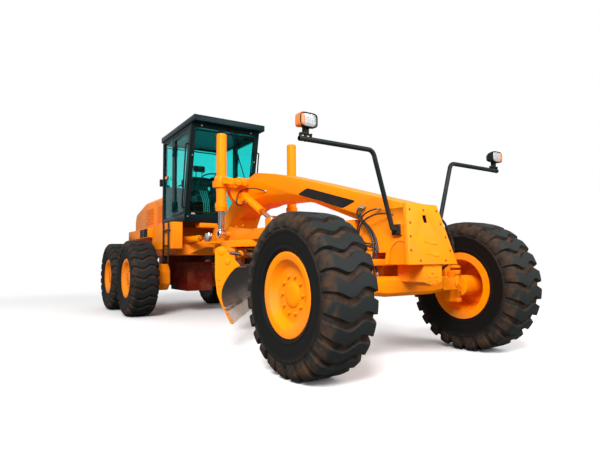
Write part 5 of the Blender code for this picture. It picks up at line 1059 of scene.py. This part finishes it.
# Hood, decks and ladders: a folded sheet hood over the engine, with louvres, a grille at its tail and
# hinged side doors. The decks carry tread plate and black vent boxes, and tube ladders hang below the cab.
HOOD_HALF = 0.46
HOOD_DOORS = ((-2.62, -1.86), (-3.50, -2.74))
HOOD_DOOR_LEVELS = (1.66, 2.20)
LOUVRE_ROWS = 9
LOUVRE_PITCH = 0.038
GRILLE_BLACK = (0.006, 0.008, 0.009, 1.0)
ZINC = (0.42, 0.42, 0.40, 1.0)
TAIL_RED = (0.60, 0.008, 0.006, 1.0)
TAIL_RED_DEEP = (0.20, 0.002, 0.002, 1.0)
LOUVRE_LIP = ((0.004, 0.0), (0.016, 0.003), (0.018, 0.008), (0.014, 0.014), (0.004, 0.024))
DECK_REACH = 0.88
DECK_TOP = 1.6
VENT_STATIONS = (-2.30, -1.78)
TREAD_ROWS = (34, 5)
TREAD_PITCH = (0.040, 0.075)
TAIL_X = -4.362
TAIL_LEVELS = (1.36, 1.92)
TAIL_SLATS = 22
TAIL_SLAT_PITCH = 0.0245

hood_paint = coated("orange_paint_hood", ORANGE, dustiness=0.15, wear=0.3, gloss=0.36, fade=0.08)
softened("hood", hood_paint, rounding=0.020)
for side_name in ("right", "left"):
    softened(f"deck_{side_name}", rear_paint, rounding=0.008)
black_steel = coated("black_paint_ladders", GRILLE_BLACK, dustiness=0.55, wear=0.8, gloss=0.45)
for side_name in ("right", "left"):
    softened(f"ladder_{side_name}", black_steel, rounding=0.003, limit=50)
zinc = coated("zinc_bolts", ZINC, dustiness=0.3, wear=0.2, gloss=0.35, metallic=0.8, specular=0.4)
for side_name, hand in SIDES:
    build = bmesh.new()
    for low_x, high_x in HOOD_DOORS:
        slab(build, (low_x, hand * HOOD_HALF - 0.004, HOOD_DOOR_LEVELS[0]),
             (high_x, hand * HOOD_HALF + 0.004, HOOD_DOOR_LEVELS[1]), 0.003)
        for row in range(LOUVRE_ROWS):
            level = HOOD_DOOR_LEVELS[0] + 0.12 + row * LOUVRE_PITCH
            start, end = low_x + 0.12, high_x - 0.12
            lip = []
            for step, (out, rise) in enumerate(LOUVRE_LIP):
                inset = 0.012 if step in (0, 4) else 0.0
                lip.append([build.verts.new((x, hand * (HOOD_HALF + out), level + rise))
                            for x in (start + inset, end - inset)])
            skin(build, lip, closed=False)
        slab(build, ((low_x + high_x) / 2 - 0.055, hand * (HOOD_HALF + 0.012) - 0.009, 1.695),
             ((low_x + high_x) / 2 + 0.055, hand * (HOOD_HALF + 0.012) + 0.009, 1.722), 0.006)
        nuts(build, [(x, hand * (HOOD_HALF + 0.004), z) for x in (low_x + 0.03, high_x - 0.03)
                     for z in (1.69, 2.17)],
             (0, hand, 0), 0.007, 0.005)
    piece(f"hood_doors_{side_name}", build, hood_paint, "chassis", sharp=40)
    build = bmesh.new()
    outer = hand * DECK_REACH
    slab(build, (VENT_STATIONS[0], outer - 0.003, 1.432), (VENT_STATIONS[1], outer + 0.003, 1.588), 0.004)
    for row in range(6):
        slab(build, (VENT_STATIONS[0] + 0.02, outer - 0.010, 1.445 + row * 0.024),
             (VENT_STATIONS[1] - 0.02, outer + 0.010, 1.455 + row * 0.024), 0.002)
    piece(f"deck_vent_{side_name}", build, black_steel, "chassis")
    build = bmesh.new()
    nuts(build, [(x, outer + hand * 0.008, 1.446 + row * 0.032) for x in (-2.05, -2.02) for row in range(5)],
         (0, hand, 0), 0.007, 0.006)
    piece(f"vent_bolts_{side_name}", build, zinc, "chassis")
    build = bmesh.new()
    for along in range(TREAD_ROWS[0]):
        for across in range(TREAD_ROWS[1]):
            x = -1.80 - along * TREAD_PITCH[0]
            y = hand * (0.52 + across * TREAD_PITCH[1])
            turn = math.radians(45 if (along + across) % 2 else -45)
            slope = Matrix.Translation((x, y, DECK_TOP)) @ Matrix.Rotation(turn, 4, "Z")
            slab(build, (-0.014, -0.004, -0.001), (0.014, 0.004, 0.0025), 0.001, 1, place=slope)
    piece(f"deck_tread_{side_name}", build, rear_paint, "chassis", sharp=60)
build = bmesh.new()
slab(build, (TAIL_X - 0.013, -0.37, TAIL_LEVELS[0]), (TAIL_X, 0.37, TAIL_LEVELS[1]), 0.003)
for row in range(TAIL_SLATS):
    level = TAIL_LEVELS[0] + 0.015 + row * TAIL_SLAT_PITCH
    slab(build, (TAIL_X - 0.030, -0.35, level), (TAIL_X - 0.010, 0.35, level + 0.010), 0.002)
for across in (-0.36, 0.0, 0.36):
    slab(build, (TAIL_X - 0.034, across - 0.010, TAIL_LEVELS[0]),
         (TAIL_X - 0.004, across + 0.010, TAIL_LEVELS[1]), 0.003)
piece("tail_grille", build, black_steel, "chassis")
tail_red = celled_lens("red_tail_lens", TAIL_RED, TAIL_RED_DEEP, 120.0, 0.15)
build = bmesh.new()
for hand in (-1, 1):
    slab(build, (-4.449, hand * 0.46 - 0.055, 1.135), (-4.436, hand * 0.46 + 0.055, 1.205), 0.006, 3)
piece("tail_lamps", build, tail_red, "chassis")
build = bmesh.new()
lathe(build, ((0.070, -0.01), (0.070, 0.030), (0.062, 0.038), (0.0, 0.040)), placed((-1.98, -0.18, 2.29)), 32)
lathe(build, ((0.045, 0.0), (0.045, 0.10), (0.052, 0.102), (0.085, 0.105), (0.088, 0.115), (0.088, 0.20),
              (0.07, 0.225), (0.03, 0.235), (0.0, 0.235)), placed((-2.55, 0.20, 2.285)), 36)
lathe(build, ((0.050, -0.01), (0.050, 0.012), (0.038, 0.018), (0.038, 0.34), (0.033, 0.34), (0.033, 0.02),
              (0.0, 0.02)),
      placed((-2.95, -0.12, 2.285)), 32)
piece("hood_stack_and_caps", build, black_steel, "chassis")

# Cab: a welded tube frame skinned in sheet, enamelled a deep green black, with a visored roof. Tinted panes
# sit in rubber, and the two glass doors hang on rear hinges with long grab rails before them.
CAB_ENAMEL = (0.0008, 0.014, 0.017, 1.0)
PANE_TINT = (0.10, 0.80, 0.78, 1.0)
PANE_FILM = (0.16, 0.78, 0.76, 1.0)
PANE_IOR = 1.16
SEAL_BLACK = (0.004, 0.005, 0.005, 1.0)
GRAB_RADIUS = 0.0125
RAIL_LINE = ((-0.300, 0.622, 2.90), (-0.300, 0.676, 2.90), (-0.470, 0.676, 1.86), (-0.470, 0.622, 1.86))
MARKER_PLACE = (-1.405, 2.50)
PLATE_PALE = (0.70, 0.70, 0.66, 1.0)
DOOR_FACE = 0.620
# The windscreen's plane: its station and level at its foot, and how far it leans back over its height
SCREEN_FOOT = (-0.507, 1.63)
SCREEN_LEAN = (0.33, 1.61)

enamel = coated("cab_enamel", CAB_ENAMEL, dustiness=0.10, wear=0.15, gloss=0.30, specular=0.10)
softened("cab_shell", enamel, rounding=0.014)
for side_name in ("right", "left"):
    softened(f"door_{side_name}", enamel, rounding=0.006)
tinted, tree, shader = new_material("tinted_pane")
film = noise(tree, node(tree, "TexCoord").outputs["Object"], 3.5, 8.0, 0.7)
feed(tree, shader, {"Base Color": blend(tree, film, PANE_TINT, PANE_FILM),
                    "Roughness": stretch(tree, film, 0.5, 0.8, 0.0, 0.08),
                    "Transmission Weight": 1.0,
                    "IOR": PANE_IOR})
for node_name in ("windscreen", "rear_pane", "side_pane_right", "side_pane_left", "door_pane_right",
                  "door_pane_left"):
    pane = frame["nodes"][node_name]
    pane.data.materials.clear()
    pane.data.materials.append(tinted)
seal = coated("rubber_seal", SEAL_BLACK, dustiness=0.3, wear=0.0, gloss=0.6)


def edging(places, width, depth, normal, name, body):
    """A rounded rubber strip that follows a pane's outline."""
    build = bmesh.new()
    points = [Vector(place) for place in places]
    section = ((-width * 0.15, 0), (-width * 0.1, depth * 0.8), (width * 0.3, depth),
               (width * 0.85, depth * 0.7), (width, 0))
    rings = []
    for before, point, after in zip(points[-1:] + points[:-1], points, points[1:] + points[:1]):
        back, onward = (before - point).normalized(), (after - point).normalized()
        inward = (back + onward) / max(0.3, back.cross(onward).length)
        rings.append([build.verts.new(point + inward * across + Vector(normal) * out)
                      for across, out in section])
    skin(build, rings + rings[:1], closed=False)
    piece(name, build, seal, body, sharp=50)


def screen_x(height, inset=0.0):
    """The windscreen plane's station at a height, on the cab's outer face."""
    return SCREEN_FOOT[0] + (height - SCREEN_FOOT[1]) / SCREEN_LEAN[1] * SCREEN_LEAN[0] - inset


screen_out = Vector((SCREEN_LEAN[1], 0, -SCREEN_LEAN[0])).normalized()
corner = [(1.79, -0.535), (1.79, 0.535), (1.83, 0.56), (3.10, 0.56), (3.14, 0.52), (3.14, -0.52),
          (3.10, -0.56), (1.83, -0.56)]
edging([(screen_x(z, 0.004), y, z) for z, y in corner], 0.020, 0.006, screen_out, "windscreen_seal",
       "chassis")
edging([(-1.727, y, z) for z, y in ((2.37, -0.55), (2.37, 0.55), (3.15, 0.55), (3.15, -0.55))], 0.02, 0.006,
       (-1, 0, 0), "rear_pane_seal", "chassis")
build = bmesh.new()
for y in (-0.45, 0.455):
    nuts(build, [(screen_x(3.215) + 0.001, y, 3.205)], screen_out, 0.011, 0.008)
for y in (-0.57, 0.57):
    nuts(build, [(screen_x(z) + 0.001, y, z) for z in (1.72, 2.72)], screen_out, 0.009, 0.006)
piece("cab_bolts", build, zinc, "chassis")
build = bmesh.new()
pivot = Vector((screen_x(3.19) + 0.014, 0.055, 3.19))
tip = Vector((screen_x(2.55) + 0.034, 0.34, 2.55))
lathe(build, ((0.030, -0.012), (0.030, 0.010), (0.020, 0.018), (0.0, 0.018)), placed(pivot, screen_out), 20)
tube(build, [pivot + screen_out * 0.012, pivot.lerp(tip, 0.5) + screen_out * 0.02, tip], 0.0065, 8)
blade_up, blade_down = tip.lerp(pivot, -0.22), tip.lerp(pivot, 0.55)
tube(build, [blade_up + screen_out * -0.006, tip + screen_out * 0.004, blade_down + screen_out * -0.004],
     0.008, 8)
slab(build, (pivot.x - 0.05, 0.0, 3.225), (pivot.x + 0.01, 0.12, 3.262), 0.006)
piece("screen_wiper", build, seal, "chassis")
for side_name, hand in SIDES:
    build = bmesh.new()
    line = bent([(x, hand * reach, z) for x, reach, z in RAIL_LINE], 0.05)
    tube(build, line, GRAB_RADIUS, 14)
    for x, reach, z in (RAIL_LINE[0], RAIL_LINE[-1]):
        lathe(build, ((0.026, 0.0), (0.026, 0.005), (0.0, 0.005)),
              placed((x, hand * DOOR_FACE, z), (0, hand, 0)), 16)
    piece(f"grab_rail_{side_name}", build, black_steel, "chassis")
    build = bmesh.new()
    slab(build, (-0.620, hand * 0.628 - 0.010, 2.22), (-0.560, hand * 0.628 + 0.010, 2.34), 0.006, 3)
    line = bent([(-0.590, hand * 0.636, 2.25), (-0.590, hand * 0.668, 2.25), (-0.690, hand * 0.668, 2.235)],
                0.02)
    tube(build, line, 0.009, 10)
    piece(f"door_latch_{side_name}", build, black_steel, f"swinging_door_{side_name}")
    marker_place = placed((MARKER_PLACE[0], hand * DOOR_FACE, MARKER_PLACE[1]), (0, hand, 0))
    build = bmesh.new()
    lathe(build, ((0.040, 0.0), (0.040, 0.012), (0.034, 0.018), (0.034, 0.020)), marker_place, 24)
    piece(f"marker_base_{side_name}", build, black_steel, "chassis")
    build = bmesh.new()
    lathe(build, ((0.033, 0.016), (0.033, 0.034), (0.029, 0.044), (0.018, 0.051), (0.0, 0.053)),
          marker_place, 28)
    piece(f"marker_lamp_{side_name}", build, amber, "chassis")
    build = bmesh.new()
    line = bent([(-1.69, hand * 0.618, 2.42), (-1.69, hand * 0.645, 2.42), (-1.69, hand * 0.655, 2.44)], 0.01)
    tube(build, line, 0.008, 10)
    slab(build, (-1.700, hand * 0.662 - 0.028, 2.38), (-1.672, hand * 0.662 + 0.028, 2.52), 0.010, 3)
    piece(f"mirror_{side_name}", build, black_steel, "chassis")
build = bmesh.new()
slab(build, (-0.506, -0.505, 1.725), (-0.496, -0.440, 1.795), 0.003)
pale_plate = coated("pale_plate", PLATE_PALE, dustiness=0.35, wear=0.2)
piece("blank_plate", build, pale_plate, "chassis")
build = bmesh.new()
slab(build, (-0.74, -0.34, 1.545), (-0.52, -0.02, 1.628), 0.010, 3)
for step in range(6):
    slab(build, (-0.521, -0.315 + step * 0.05, 1.565), (-0.514, -0.285 + step * 0.05, 1.585), 0.002)
piece("valve_cover", build, rear_paint, "chassis")

# Seat: a sprung driver's seat on a black bellows box. Its cushion, back and head roll are stuffed pads in
# charcoal cloth, drawn in along sewn channels.
SEAT_X = -1.227
SEAT_HALF = 0.232
CUSHION_LEVELS = (2.062, 2.196)
BACK_X = -1.467
BACK_TOP = 2.826
BOX_HALF = 0.168
FLOOR_LEVEL = 1.6803
CLOTH_CHARCOAL = (0.013, 0.014, 0.015, 1.0)
CLOTH_THREAD = (0.040, 0.042, 0.044, 1.0)
PAD_SWELL = 0.022
CHANNEL_HALF = 0.028
CHANNEL_DEPTH = 0.012
ARM_REST_REACH = 0.215
FOLDS = 6
FOLD_PITCH = 0.042

cloth, tree, shader = new_material("charcoal_seat_cloth")
threads = {"Vector": node(tree, "TexCoord").outputs["Object"], "Scale": 150.0, "Distortion": 0.6}
weave = times(tree, node(tree, "TexWave", threads).outputs["Fac"],
              node(tree, "TexWave", threads, bands_direction="Y").outputs["Fac"])
feed(tree, shader, {"Base Color": blend(tree, weave, CLOTH_CHARCOAL, CLOTH_THREAD),
                    "Roughness": 0.85,
                    "Sheen Weight": 0.3,
                    "Normal": bump(tree, weave, 0.4, 0.001)})


def cushion(name, low, high, channels, axis):
    """A stuffed pad blown up from a slightly smaller block, then drawn in along its sewn channels."""
    low, high = Vector(low), Vector(high)
    build = bmesh.new()
    slab(build, low + Vector((PAD_SWELL,) * 3) * 0.75, high - Vector((PAD_SWELL,) * 3) * 0.75, 0.028, 3)
    mesh = bpy.data.meshes.new(name)
    build.to_mesh(mesh)
    build.free()
    made = bpy.data.objects.new(name, mesh)
    scene.collection.objects.link(made)
    even = made.modifiers.new("even_mesh", "REMESH")
    even.mode = "VOXEL"
    even.voxel_size = 0.009
    mesh = bpy.data.meshes.new_from_object(made.evaluated_get(bpy.context.evaluated_depsgraph_get()))
    made.modifiers.clear()
    made.data = mesh
    rest = [vertex.co.copy() for vertex in mesh.vertices]
    blown = made.modifiers.new("blown_up", "CLOTH")
    blown.settings.use_pressure = True
    blown.settings.uniform_pressure_force = 4.0
    blown.settings.effector_weights.gravity = 0.0
    for moment in range(1, 21):
        scene.frame_set(moment)
    swollen = bpy.data.meshes.new_from_object(made.evaluated_get(bpy.context.evaluated_depsgraph_get()))
    made.modifiers.clear()
    made.data = mesh = swollen
    scene.frame_set(1)
    for vertex, start in zip(mesh.vertices, rest):
        move = vertex.co - start
        if move.length > PAD_SWELL:
            vertex.co = start + move.normalized() * PAD_SWELL
    for vertex in mesh.vertices:
        for index in range(3):
            vertex.co[index] = min(max(vertex.co[index], low[index]), high[index])
    face_axis, face_side = axis
    middle = (low + high) / 2
    reach = (high - low) / 2
    for vertex in mesh.vertices:
        out = (vertex.co[face_axis] - middle[face_axis]) * face_side / reach[face_axis]
        if out <= 0.1:
            continue
        for across_axis, place_at in channels:
            gap = abs(vertex.co[across_axis] - place_at)
            if gap < CHANNEL_HALF:
                drawn = CHANNEL_DEPTH * (1 - gap / CHANNEL_HALF) ** 1.5
                vertex.co[face_axis] -= face_side * drawn * min(1.0, out * 1.4)
        edge_gap = min(reach[other] - abs(vertex.co[other] - middle[other])
                       for other in range(3) if other != face_axis)
        if edge_gap > 0.05:
            vertex.co[face_axis] += face_side * -0.003
    finer = made.modifiers.new("finer", "SUBSURF")
    finer.levels = 1
    mesh = bpy.data.meshes.new_from_object(made.evaluated_get(bpy.context.evaluated_depsgraph_get()))
    made.modifiers.clear()
    made.data = mesh
    for face in mesh.polygons:
        face.use_smooth = True
        face.material_index = 0
    mesh.materials.clear()
    mesh.materials.append(cloth)
    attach(made, "chassis")
    return made


cushion("seat_cushion", (SEAT_X - 0.17, -SEAT_HALF, CUSHION_LEVELS[0]),
        (SEAT_X + 0.238, SEAT_HALF, CUSHION_LEVELS[1]),
        ((1, -0.13), (1, 0.13), (0, SEAT_X + 0.10), (0, SEAT_X - 0.04)), (2, 1))
cushion("seat_back_pad", (BACK_X - 0.050, -SEAT_HALF + 0.01, 2.10), (BACK_X + 0.060, SEAT_HALF - 0.01, 2.62),
        ((1, -0.13), (1, 0.13), (2, 2.26), (2, 2.38), (2, 2.50)), (0, 1))
cushion("head_roll", (BACK_X - 0.040, -0.135, 2.665), (BACK_X + 0.050, 0.135, BACK_TOP), ((1, 0.0),),
        (0, 1))
build = bmesh.new()
slab(build, (SEAT_X - BOX_HALF, -BOX_HALF, FLOOR_LEVEL),
     (SEAT_X + BOX_HALF, BOX_HALF, FLOOR_LEVEL + 0.06), 0.008)
for fold in range(FOLDS):
    half = 0.150 + 0.012 * (fold % 2)
    level = FLOOR_LEVEL + 0.06 + fold * FOLD_PITCH
    slab(build, (SEAT_X - half, -half, level), (SEAT_X + half, half, level + 0.046), 0.014)
slab(build, (SEAT_X - 0.165, -0.20, 2.012), (SEAT_X + 0.20, 0.20, 2.058), 0.008)
slab(build, (BACK_X - 0.058, -0.19, 2.03), (BACK_X - 0.045, 0.19, 2.60), 0.006)
for hand in (-1, 1):
    tube(build, [(BACK_X, hand * 0.06, 2.58), (BACK_X, hand * 0.06, 2.70)], 0.008, 10)
    rest_y = hand * ARM_REST_REACH
    slab(build, (SEAT_X - 0.16, rest_y - 0.022, 2.235), (SEAT_X + 0.10, rest_y + 0.022, 2.275), 0.012, 3)
    tube(build, [(BACK_X + 0.01, rest_y, 2.18), (SEAT_X - 0.12, rest_y, 2.24)], 0.012, 10)
    slab(build, (SEAT_X - 0.13, hand * 0.225 - 0.008, 2.05),
         (SEAT_X - 0.11, hand * 0.225 + 0.008, 2.26), 0.003)
piece("seat_frame", build, seal, "chassis", ("seat",))

# Console: a moulded foot and column with the dished steering wheel, an instrument pod, and the bank of
# control levers with pale steel shafts and black knobs.
CONSOLE_X = -0.697
WHEEL_CENTRE = Vector((-0.817, 0.0, 2.4855))
WHEEL_RADIUS = 0.178
COLUMN_PROFILE = ((0.0, 0.0), (0.075, 0.0), (0.070, 0.03), (0.050, 0.07), (0.046, 0.40), (0.052, 0.44),
                  (0.052, 0.52), (0.040, 0.56), (0.030, 0.66), (0.0, 0.66))
CONSOLE_GREY = (0.016, 0.019, 0.020, 1.0)
LEVER_GREY = (0.50, 0.50, 0.47, 1.0)
LEVER_PLACES = (-0.235, -0.195, -0.155, -0.115, 0.115, 0.155, 0.195, 0.235)

moulded = coated("moulded_console", CONSOLE_GREY, dustiness=0.35, wear=0.1, gloss=0.5)
column_axis = (WHEEL_CENTRE - Vector((CONSOLE_X, 0, 1.80))).normalized()
build = bmesh.new()
slab(build, (CONSOLE_X - 0.10, -0.22, FLOOR_LEVEL), (CONSOLE_X + 0.08, 0.22, FLOOR_LEVEL + 0.12), 0.018, 3)
foot_place = placed((CONSOLE_X, 0, 1.79), column_axis)
lathe(build, COLUMN_PROFILE, foot_place, 32)
slab(build, (CONSOLE_X - 0.158, -0.258, 2.302), (CONSOLE_X - 0.042, 0.258, 2.418), 0.026, 3)
for y in (-0.17, -0.06, 0.06, 0.17):
    lathe(build, ((0.038, -0.002), (0.038, 0.005), (0.032, 0.006), (0.030, 0.001), (0.0, 0.001)),
          placed((CONSOLE_X - 0.112, y, 2.415), (-0.35, 0, 1)), 24)
piece("steering_column", build, moulded, "chassis", ("console",), sharp=35)
build = bmesh.new()
wheel_place = placed(WHEEL_CENTRE, column_axis)
rim_section = [(WHEEL_RADIUS + point.x, point.y) for point in around(10, 0.0115)]
lathe(build, rim_section, wheel_place, 56, closed=True)
for turn in (0.0, 2.2, 4.08):
    start, knee, end = (wheel_place @ around(1, radius, height, turn)[0]
                        for radius, height in ((0.03, -0.035), (0.12, -0.022), (WHEEL_RADIUS, 0.0)))
    tube(build, bent([start, knee, end], 0.03), 0.0075, 8)
lathe(build, ((0.0, -0.045), (0.040, -0.045), (0.043, -0.030), (0.036, -0.018), (0.0, -0.014)),
      wheel_place, 24)
piece("steering_wheel", build, moulded, "chassis", sharp=40)
lever_steel = coated("lever_steel", LEVER_GREY, dustiness=0.25, wear=0.2, gloss=0.3, metallic=0.7,
                     specular=0.4)
build = bmesh.new()
knobs = bmesh.new()
for y in LEVER_PLACES:
    foot = Vector((CONSOLE_X - 0.02, y * 0.80, 1.80))
    head = Vector((CONSOLE_X - 0.135, y, 2.245))
    tube(build, bent([foot, Vector((CONSOLE_X - 0.03, y * 0.85, 2.02)), head], 0.05), 0.006, 8)
    lathe(knobs, ((0.0, -0.018), (0.012, -0.016), (0.017, 0.0), (0.016, 0.014), (0.009, 0.022), (0.0, 0.023)),
          placed(head), 16)
piece("control_levers", build, lever_steel, "chassis")
piece("lever_knobs", knobs, moulded, "chassis")
build = bmesh.new()
slab(build, (-0.80, -0.56, FLOOR_LEVEL - 0.001), (-0.60, 0.56, FLOOR_LEVEL + 0.008), 0.003)
slab(build, (-1.62, -0.56, FLOOR_LEVEL - 0.001), (-0.82, 0.56, FLOOR_LEVEL + 0.006), 0.003)
for hand in (-1, 1):
    slab(build, (-0.66, hand * 0.34 - 0.045, FLOOR_LEVEL + 0.03),
         (-0.58, hand * 0.34 + 0.045, FLOOR_LEVEL + 0.045), 0.004)
piece("floor_mat", build, seal, "chassis")

# Hoses: wire-braided hydraulic hoses with crimped steel ends. They hang in free loops between the beam,
# the axle and the cylinders, and are fixed at both ends.
HOSE_BLACK = (0.006, 0.007, 0.008, 1.0)
HOSE_SCUFFED = (0.045, 0.034, 0.026, 1.0)
CRIMP_LENGTH = 0.040
# Radii of the three kinds of hose
WIDE_HOSE = 0.0118
THIN_HOSE = 0.0075
SADDLE_HOSE = 0.0085

hose_rubber, tree, shader = new_material("braided_hose")
spot = node(tree, "TexCoord").outputs["Object"]
braid = node(tree, "TexWave", {"Vector": spot, "Scale": 120.0, "Distortion": 1.5}, bands_direction="DIAGONAL")
scuff = stretch(tree, noise(tree, spot, 24.0, 5.0), 0.5, 0.75)
feed(tree, shader, {"Base Color": blend(tree, scuff, HOSE_BLACK, HOSE_SCUFFED),
                    "Roughness": 0.42,
                    "Normal": bump(tree, braid.outputs["Fac"], 0.3, 0.0008)})


def hose(name, places, radius, body, count=32):
    """A hose on one smooth curve through its places, with a crimped fitting on each end."""
    points = [Vector(place) for place in places]
    dense = []
    for index in range(len(points) - 1):
        before = points[index - 1] if index else points[0] * 2 - points[1]
        after = points[index + 2] if index + 2 < len(points) else points[-1] * 2 - points[-2]
        here, onward = points[index], points[index + 1]
        dense += [eased(before, here, onward, after, step / 24) for step in range(24)]
    dense.append(points[-1])
    for turn in range(60):
        dense = [dense[0]] + [dense[index] * 0.5 + (dense[index - 1] + dense[index + 1]) * 0.25
                              for index in range(1, len(dense) - 1)] + [dense[-1]]
    runs = [0.0]
    for near, far in zip(dense, dense[1:]):
        runs.append(runs[-1] + (far - near).length)
    route = []
    for step in range(count):
        goal = runs[-1] * step / (count - 1)
        index = min(max(i for i, run in enumerate(runs) if run <= goal + 1e-9), len(dense) - 2)
        share = (goal - runs[index]) / max(1e-9, runs[index + 1] - runs[index])
        route.append(dense[index].lerp(dense[index + 1], share))
    build = bmesh.new()
    tube(build, route, radius, 12)
    made = piece(name, build, hose_rubber, body)
    build = bmesh.new()
    for start, onward in ((route[0], route[1]), (route[-1], route[-2])):
        axis = onward - start
        crimp = ((0.0, -0.15), (1.15, -0.15), (1.3, 0.0), (1.3, 0.3), (1.55, 0.32), (1.55, 0.55),
                 (1.25, 0.58), (1.2, 1.0), (1.0, 1.0))
        lathe(build, [(radius * out, CRIMP_LENGTH * along) for out, along in crimp], placed(start, axis), 6)
    ends = piece(name + "_ends", build, zinc, body, sharp=25)


HOSES = (
    ("axle_hose_outer", WIDE_HOSE, (
        (3.465, -0.182, 1.490), (3.452, -0.225, 1.462), (3.462, -0.255, 1.415), (3.512, -0.271, 1.360),
        (3.595, -0.279, 1.298), (3.672, -0.285, 1.226), (3.722, -0.290, 1.140), (3.742, -0.297, 1.045),
        (3.738, -0.308, 0.960), (3.728, -0.318, 0.880), (3.715, -0.320, 0.806))),
    ("axle_hose_inner", WIDE_HOSE, (
        (3.492, -0.180, 1.484), (3.482, -0.221, 1.452), (3.497, -0.246, 1.400), (3.549, -0.259, 1.337),
        (3.630, -0.264, 1.278), (3.704, -0.268, 1.206), (3.752, -0.274, 1.124), (3.773, -0.284, 1.035),
        (3.770, -0.297, 0.955), (3.762, -0.290, 0.880), (3.755, -0.270, 0.806))),
    ("thin_hose_low", THIN_HOSE, (
        (3.714, -0.180, 1.439), (3.690, -0.225, 1.437), (3.590, -0.260, 1.405), (3.500, -0.265, 1.320),
        (3.470, -0.262, 1.225), (3.505, -0.262, 1.155), (3.600, -0.268, 1.115), (3.660, -0.262, 1.110),
        (3.700, -0.247, 1.110))),
    ("thin_hose_high", THIN_HOSE, (
        (3.886, -0.195, 1.374), (3.860, -0.240, 1.380), (3.740, -0.295, 1.375), (3.600, -0.310, 1.315),
        (3.545, -0.310, 1.220), (3.570, -0.305, 1.150), (3.640, -0.295, 1.085), (3.720, -0.270, 1.070),
        (3.760, -0.250, 1.070))),
    ("saddle_hose", SADDLE_HOSE, (
        (1.546, -0.204, 1.894), (1.497, -0.238, 1.912), (1.390, -0.280, 1.950), (1.220, -0.320, 1.972),
        (1.080, -0.360, 1.950), (1.012, -0.390, 1.870), (1.032, -0.402, 1.785), (1.110, -0.402, 1.740),
        (1.215, -0.392, 1.748), (1.290, -0.368, 1.770))),
    ("nose_hose_left", WIDE_HOSE, (
        (3.930, 0.190, 1.375), (3.960, 0.228, 1.384), (4.015, 0.262, 1.362), (4.055, 0.308, 1.315),
        (4.058, 0.352, 1.250), (4.052, 0.405, 1.180), (4.042, 0.452, 1.100), (4.012, 0.488, 1.010),
        (3.955, 0.500, 0.925), (3.880, 0.485, 0.860), (3.800, 0.450, 0.800))),
)
for hose_name, radius, places in HOSES:
    hose(hose_name, places, radius, "front")
